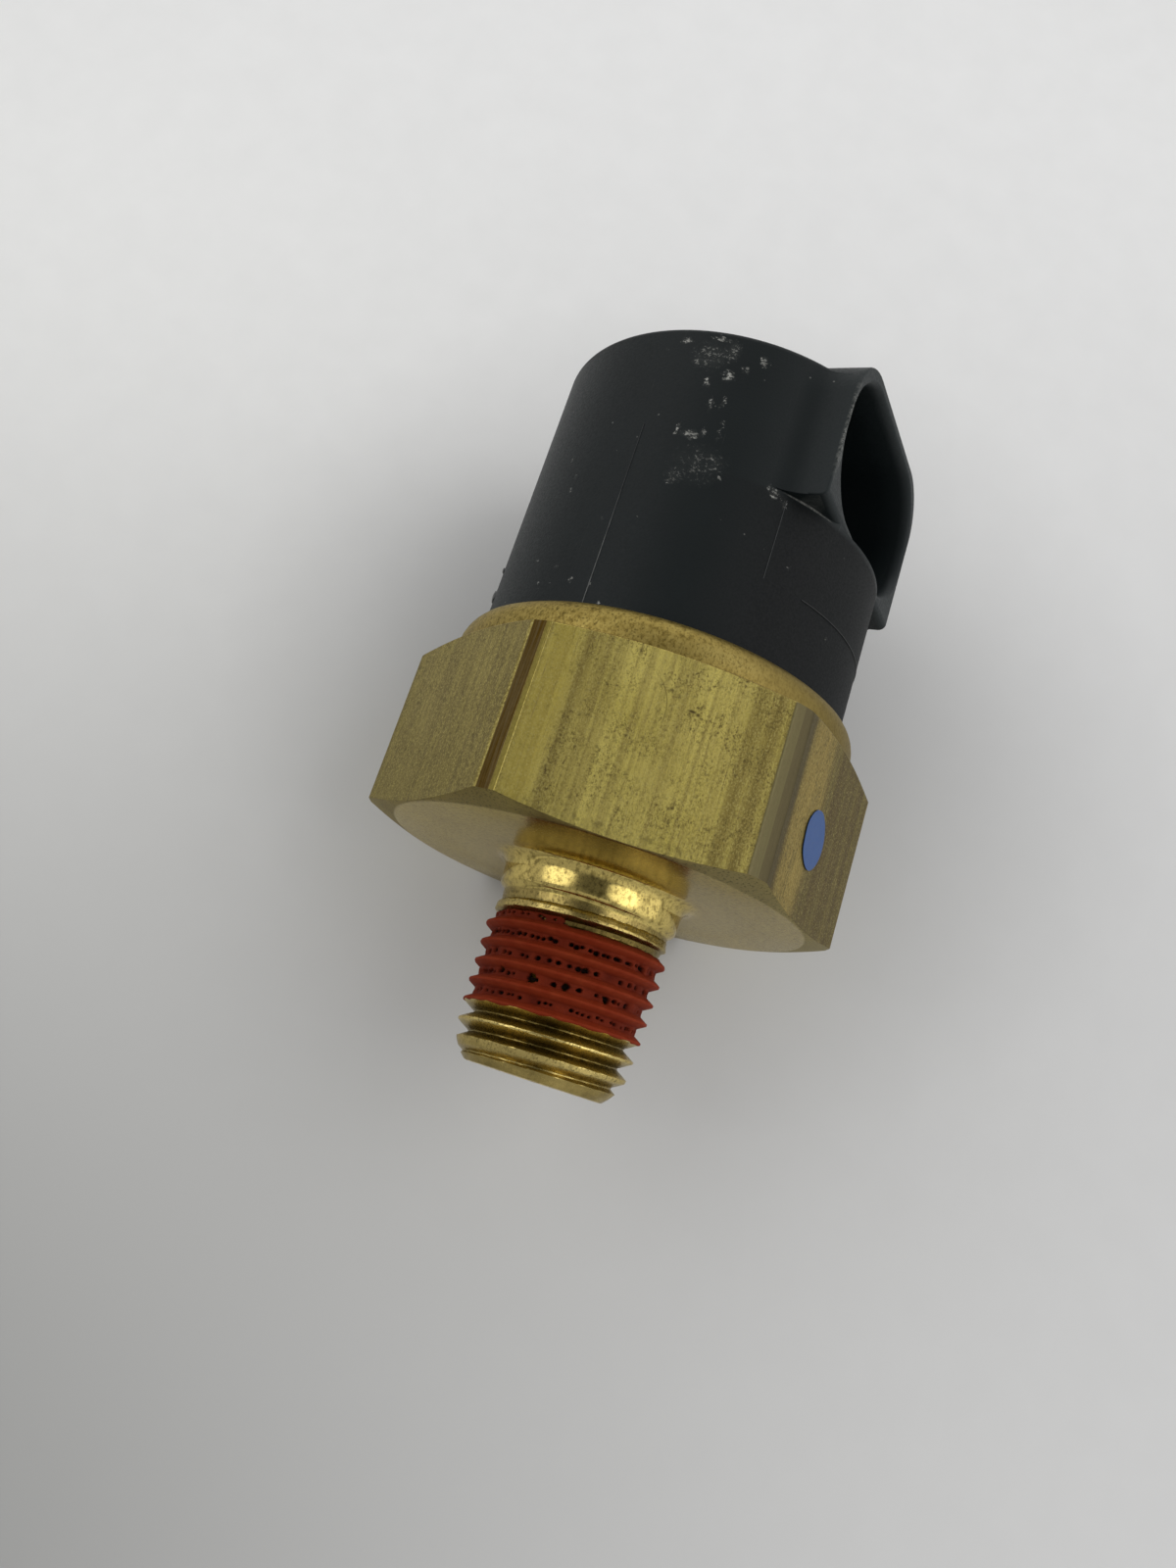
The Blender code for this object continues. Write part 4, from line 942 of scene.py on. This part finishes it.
def sealantFinish():
    finish, tree, shader, place = startFinish("driedSealant", 0.75, specular=0.1)
    cloud = grain(tree, place, 1.1, 5, 0.6)
    dust = grain(tree, place, 9, 2)
    colour = tint(tree, fromTo(tree, cloud, 0.32, 0.68), linear(124, 40, 15), linear(136, 52, 25))
    deep = addNode(tree, "ShaderNodeAttribute", attribute_name="deep").outputs["Fac"]
    deep = calc(tree, "ADD", deep, calc(tree, "MULTIPLY", cloud, 0.4))
    # painted shade: the red darkens where the skin lies deep in the grooves
    colour = tint(tree, fromTo(tree, deep, 0.55, 1.2), colour, linear(84, 23, 9))
    pit = addNode(tree, "ShaderNodeAttribute", attribute_name="pit").outputs["Fac"]
    # painted shadow: the pits are coloured near black for the shade inside them
    colour = tint(tree, fromTo(tree, pit, 0.2, 0.8), colour, linear(20, 7, 5))
    feed(tree, shader.inputs["Base Color"], colour)
    bumped(tree, shader, calc(tree, "ADD", dust, cloud), 0.03, 0.6)
    return finish


# chalky marks on the housing: azimuth, height, half width in degrees, half height, strength
chalkMarks = [
    (-85.3, 37.15, 1.8, 0.3, 0.9), (-76.5, 36, 5.5, 1.2, 0.4), (-71, 36.6, 2.6, 0.9, 0.5),
    (-69.8, 34.6, 2, 0.45, 0.9), (-61.4, 36.4, 1.3, 0.5, 1), (-75, 33.8, 1.2, 0.4, 0.6),
    (-75, 37.5, 3, 0.25, 0.9), (-72.3, 32.1, 0.8, 0.7, 0.6), (-69, 32.4, 0.6, 0.5, 0.7),
    (-79, 35.4, 2.5, 0.5, 0.5), (-66, 35.4, 1.2, 0.3, 0.7), (-79, 29.9, 0.6, 0.5, 0.8),
    (-74.6, 29.5, 3, 0.4, 0.8), (-71.6, 29.9, 1, 0.3, 0.8), (-67.2, 30.2, 0.5, 0.9, 0.6),
    (-70, 27.3, 8, 1.5, 0.26), (-75.5, 26.2, 3, 0.6, 0.36), (-76.8, 25.6, 1.2, 0.25, 0.8),
    (-63.8, 26.7, 0.9, 0.15, 0.9), (-66.8, 27.6, 3, 0.8, 0.36), (-113, 27.8, 0.6, 0.3, 0.5),
    (-108, 25.9, 0.5, 0.25, 0.4), (-108.3, 24.8, 0.8, 0.22, 1), (-95.5, 27.8, 0.4, 0.15, 0.4),
    (-102.7, 18.4, 1, 0.1, 0.6), (-112.3, 19.1, 0.6, 0.15, 0.6), (-95.9, 17.4, 0.7, 0.25, 1),
    (-89.5, 17.1, 0.5, 0.2, 1), (-85, 15.8, 0.5, 0.13, 1), (-107.8, 17.2, 0.8, 0.07, 0.7),
    (-103.4, 17.1, 0.7, 0.06, 0.7), (-36.9, 22.5, 0.7, 0.1, 0.3), (-16, 19.7, 0.5, 0.14, 0.7),
    (-92.5, 22.3, 0.5, 0.15, 0.3), (-81.8, 22.5, 0.4, 0.12, 0.3), (-90.5, 36.3, 0.7, 0.15, 0.5),
    (-47, 27.1, 1.8, 0.4, 0.8), (-44, 26.7, 1.0, 0.35, 0.7), (-49.5, 27.3, 0.8, 0.3, 0.6),
]


def plasticFinish():
    finish, tree, shader, place = startFinish("blackPlastic", 0.5, specular=0.18)
    x, y, z = parts(tree, place)
    azimuth = azimuthOf(tree, x, y)
    around = flatMap(tree, azimuth, z)
    cloud = grain(tree, place, 0.3, 4)
    rough = grain(tree, place, 6, 3)
    colour = tint(tree, cloud, linear(12, 18, 19), linear(18, 25, 26))
    # painted light: the boss's front next to the mouth, above its floor, lightened as a lit band
    boss = both(tree, fromTo(tree, z, 27.2, 27.8), fromTo(tree, x, 10.4, 12.8))
    colour = tint(tree, calc(tree, "MULTIPLY", boss, 0.5), colour, linear(40, 46, 47))
    # painted shade: the cap's lower right, under the boss towards +X, darkened
    turnedAway = both(tree, fromTo(tree, z, 27.4, 27.1), fromTo(tree, x, 6, 11))
    colour = tint(tree, calc(tree, "MULTIPLY", turnedAway, 0.8), colour, linear(5, 7, 8))
    scuff = grain(tree, place, 2.3, 6, 0.7)
    speck = grain(tree, stretched(tree, place, (3.4, 3.4, 4.6)), 1.0, 8, 0.78)
    wearAndShadow = grain(tree, place, 1.3, 2)
    ragged = addNode(tree, "ShaderNodeVectorMath", {0: around, 1: addNode(tree, "ShaderNodeVectorMath", {
        0: addNode(tree, "ShaderNodeTexNoise", {"Vector": place, "Scale": 2.6, "Detail": 4}).outputs["Color"],
        1: (4, 0.9, 0)}, operation="MULTIPLY").outputs[0]}, operation="ADD").outputs[0]
    ragged = stretched(tree, ragged, (1, 1, 1), shift=(-2, -0.45, 0))
    pale = None
    for angle, height, wide, tall, level in chalkMarks:
        mark = patch(tree, ragged, (angle, height, 0), (wide * 1.2, tall * 1.2, 1), 0.7)
        mark = calc(tree, "MULTIPLY", mark, level)
        pale = most(tree, pale, mark) if pale else mark
    flakes = fromTo(tree, calc(tree, "ADD", speck, calc(tree, "MULTIPLY", pale, 0.13)), 0.59, 0.65, 0.04, 1)
    pale = both(tree, fromTo(tree, pale, 0, 0.5), flakes, fromTo(tree, wearAndShadow, 0.36, 0.62, 0.4, 1.15))
    dust = addNode(tree, "ShaderNodeTexVoronoi", {"Vector": place, "Scale": 0.8})
    chosen = fromTo(tree, parts(tree, dust.outputs["Color"])["X"], 0.62, 0.64)
    pale = most(tree, pale, both(tree, chosen, fromTo(tree, dust.outputs["Distance"], 0.07, 0.035, 0, 0.3)))
    rim = both(tree, fromTo(tree, x, 12.85, 13.0), fromTo(tree, y, -9.2, -9.4), fromTo(tree, speck, 0.44, 0.6),
               patch(tree, place, (13, -9.5, 33.2), (1, 1.2, 4.4), 0.6))
    pale = most(tree, pale, calc(tree, "MULTIPLY", rim, 0.45))
    seam = patch(tree, around, (-36, 27.45, 0), (10, 0.11, 1), 0.5)  # flash left under the boss
    pale = most(tree, pale, both(tree, seam, fromTo(tree, scuff, 0.4, 0.55, 0.15, 0.5)))
    hairs = grain(tree, stretched(tree, around, (0.9, 0.05, 1), turn=(0, 0, 0.12)), 1.0, 5, 0.75)
    pale = most(tree, pale, fromTo(tree, hairs, 0.66, 0.72, 0, 0.05))
    feed(tree, shader.inputs["Base Color"], tint(tree, pale, colour, linear(160, 160, 154)))
    gloss = fromTo(tree, rough, 0.3, 0.7, 0.42, 0.58)
    feed(tree, shader.inputs["Roughness"], calc(tree, "ADD", gloss, calc(tree, "MULTIPLY", turnedAway, 0.15)))
    bumped(tree, shader, rough, 0.02, 0.5)
    return finish


def markFinish():
    finish, tree, shader, place = startFinish("mouldLine", 0.45, specular=0.4)
    x, z = [parts(tree, place)[axis] for axis in "XZ"]
    fade = both(tree, grain(tree, stretched(tree, place, (0.5, 0.5, 1.2)), 1.0, 4), fromTo(tree, z, 29, 18))
    colour = tint(tree, fromTo(tree, fade, 0.15, 0.6), linear(20, 24, 25), linear(96, 98, 96))
    colour = tint(tree, fromTo(tree, x, 9.5, 10), colour, linear(34, 37, 38))
    # painted shade: past x = 11 the ring at the slide step is near black, the step's dark line of shade
    feed(tree, shader.inputs["Base Color"], tint(tree, fromTo(tree, x, 11, 11.6), colour, linear(5, 6, 7)))
    return finish


def paintFinish():
    finish, tree, shader, place = startFinish("bluePaint", 0.5)
    cloud = grain(tree, place, 1.5, 4)
    wearAndShadow = grain(tree, place, 5, 4)
    colour = tint(tree, cloud, linear(26, 66, 127), linear(38, 80, 135))
    colour = tint(tree, fromTo(tree, wearAndShadow, 0.62, 0.72, 0, 0.6), colour, linear(70, 74, 84))
    feed(tree, shader.inputs["Base Color"], colour)
    return finish


def innerFinish(name, low, high, roughness, metallic, scale=1.5):
    finish, tree, shader, place = startFinish(name, roughness, metallic)
    cloud = grain(tree, stretched(tree, place, (1, 1, 3)), scale)
    feed(tree, shader.inputs["Base Color"], tint(tree, cloud, low + (1,), high + (1,)))
    return finish


makeBody(brassFinish())
print("brass body made")
makeSealant(sealantFinish())
makeDot(paintFinish())
print("sealant and paint made")
makeHousing(plasticFinish())
makeMarks(markFinish())
print("housing made")

innerFinishes = {
    "inner_brass": ((0.5, 0.37, 0.12), (0.66, 0.5, 0.2), 0.32, 1),
    "rubber": ((0.012, 0.012, 0.012), (0.03, 0.03, 0.03), 0.75, 0),
    "diaphragm_film": ((0.45, 0.23, 0.06), (0.58, 0.33, 0.1), 0.35, 0),
    "steel": ((0.5, 0.5, 0.49), (0.64, 0.64, 0.62), 0.3, 1),
    "ceramic": ((0.78, 0.75, 0.68), (0.88, 0.85, 0.79), 0.3, 0),
    "insulator": ((0.16, 0.09, 0.05), (0.23, 0.14, 0.09), 0.6, 0),
    "tinned_brass": ((0.6, 0.58, 0.54), (0.74, 0.72, 0.68), 0.35, 1),
    "contact_silver": ((0.74, 0.74, 0.72), (0.87, 0.87, 0.85), 0.22, 1),
    "spring_bronze": ((0.6, 0.36, 0.19), (0.74, 0.47, 0.27), 0.33, 1),
    "potting_resin": ((0.03, 0.03, 0.035), (0.06, 0.06, 0.07), 0.3, 0),
}
made = {slot: innerFinish(slot, *look) for slot, look in innerFinishes.items()}
slots = {row["node"]: row["material_slot"] for row in frame["record"]["subparts"]}
for name, node in frame["nodes"].items():
    if slots[name] in made:
        node.data.materials.clear()
        node.data.materials.append(made[slots[name]])
print("finishes set")
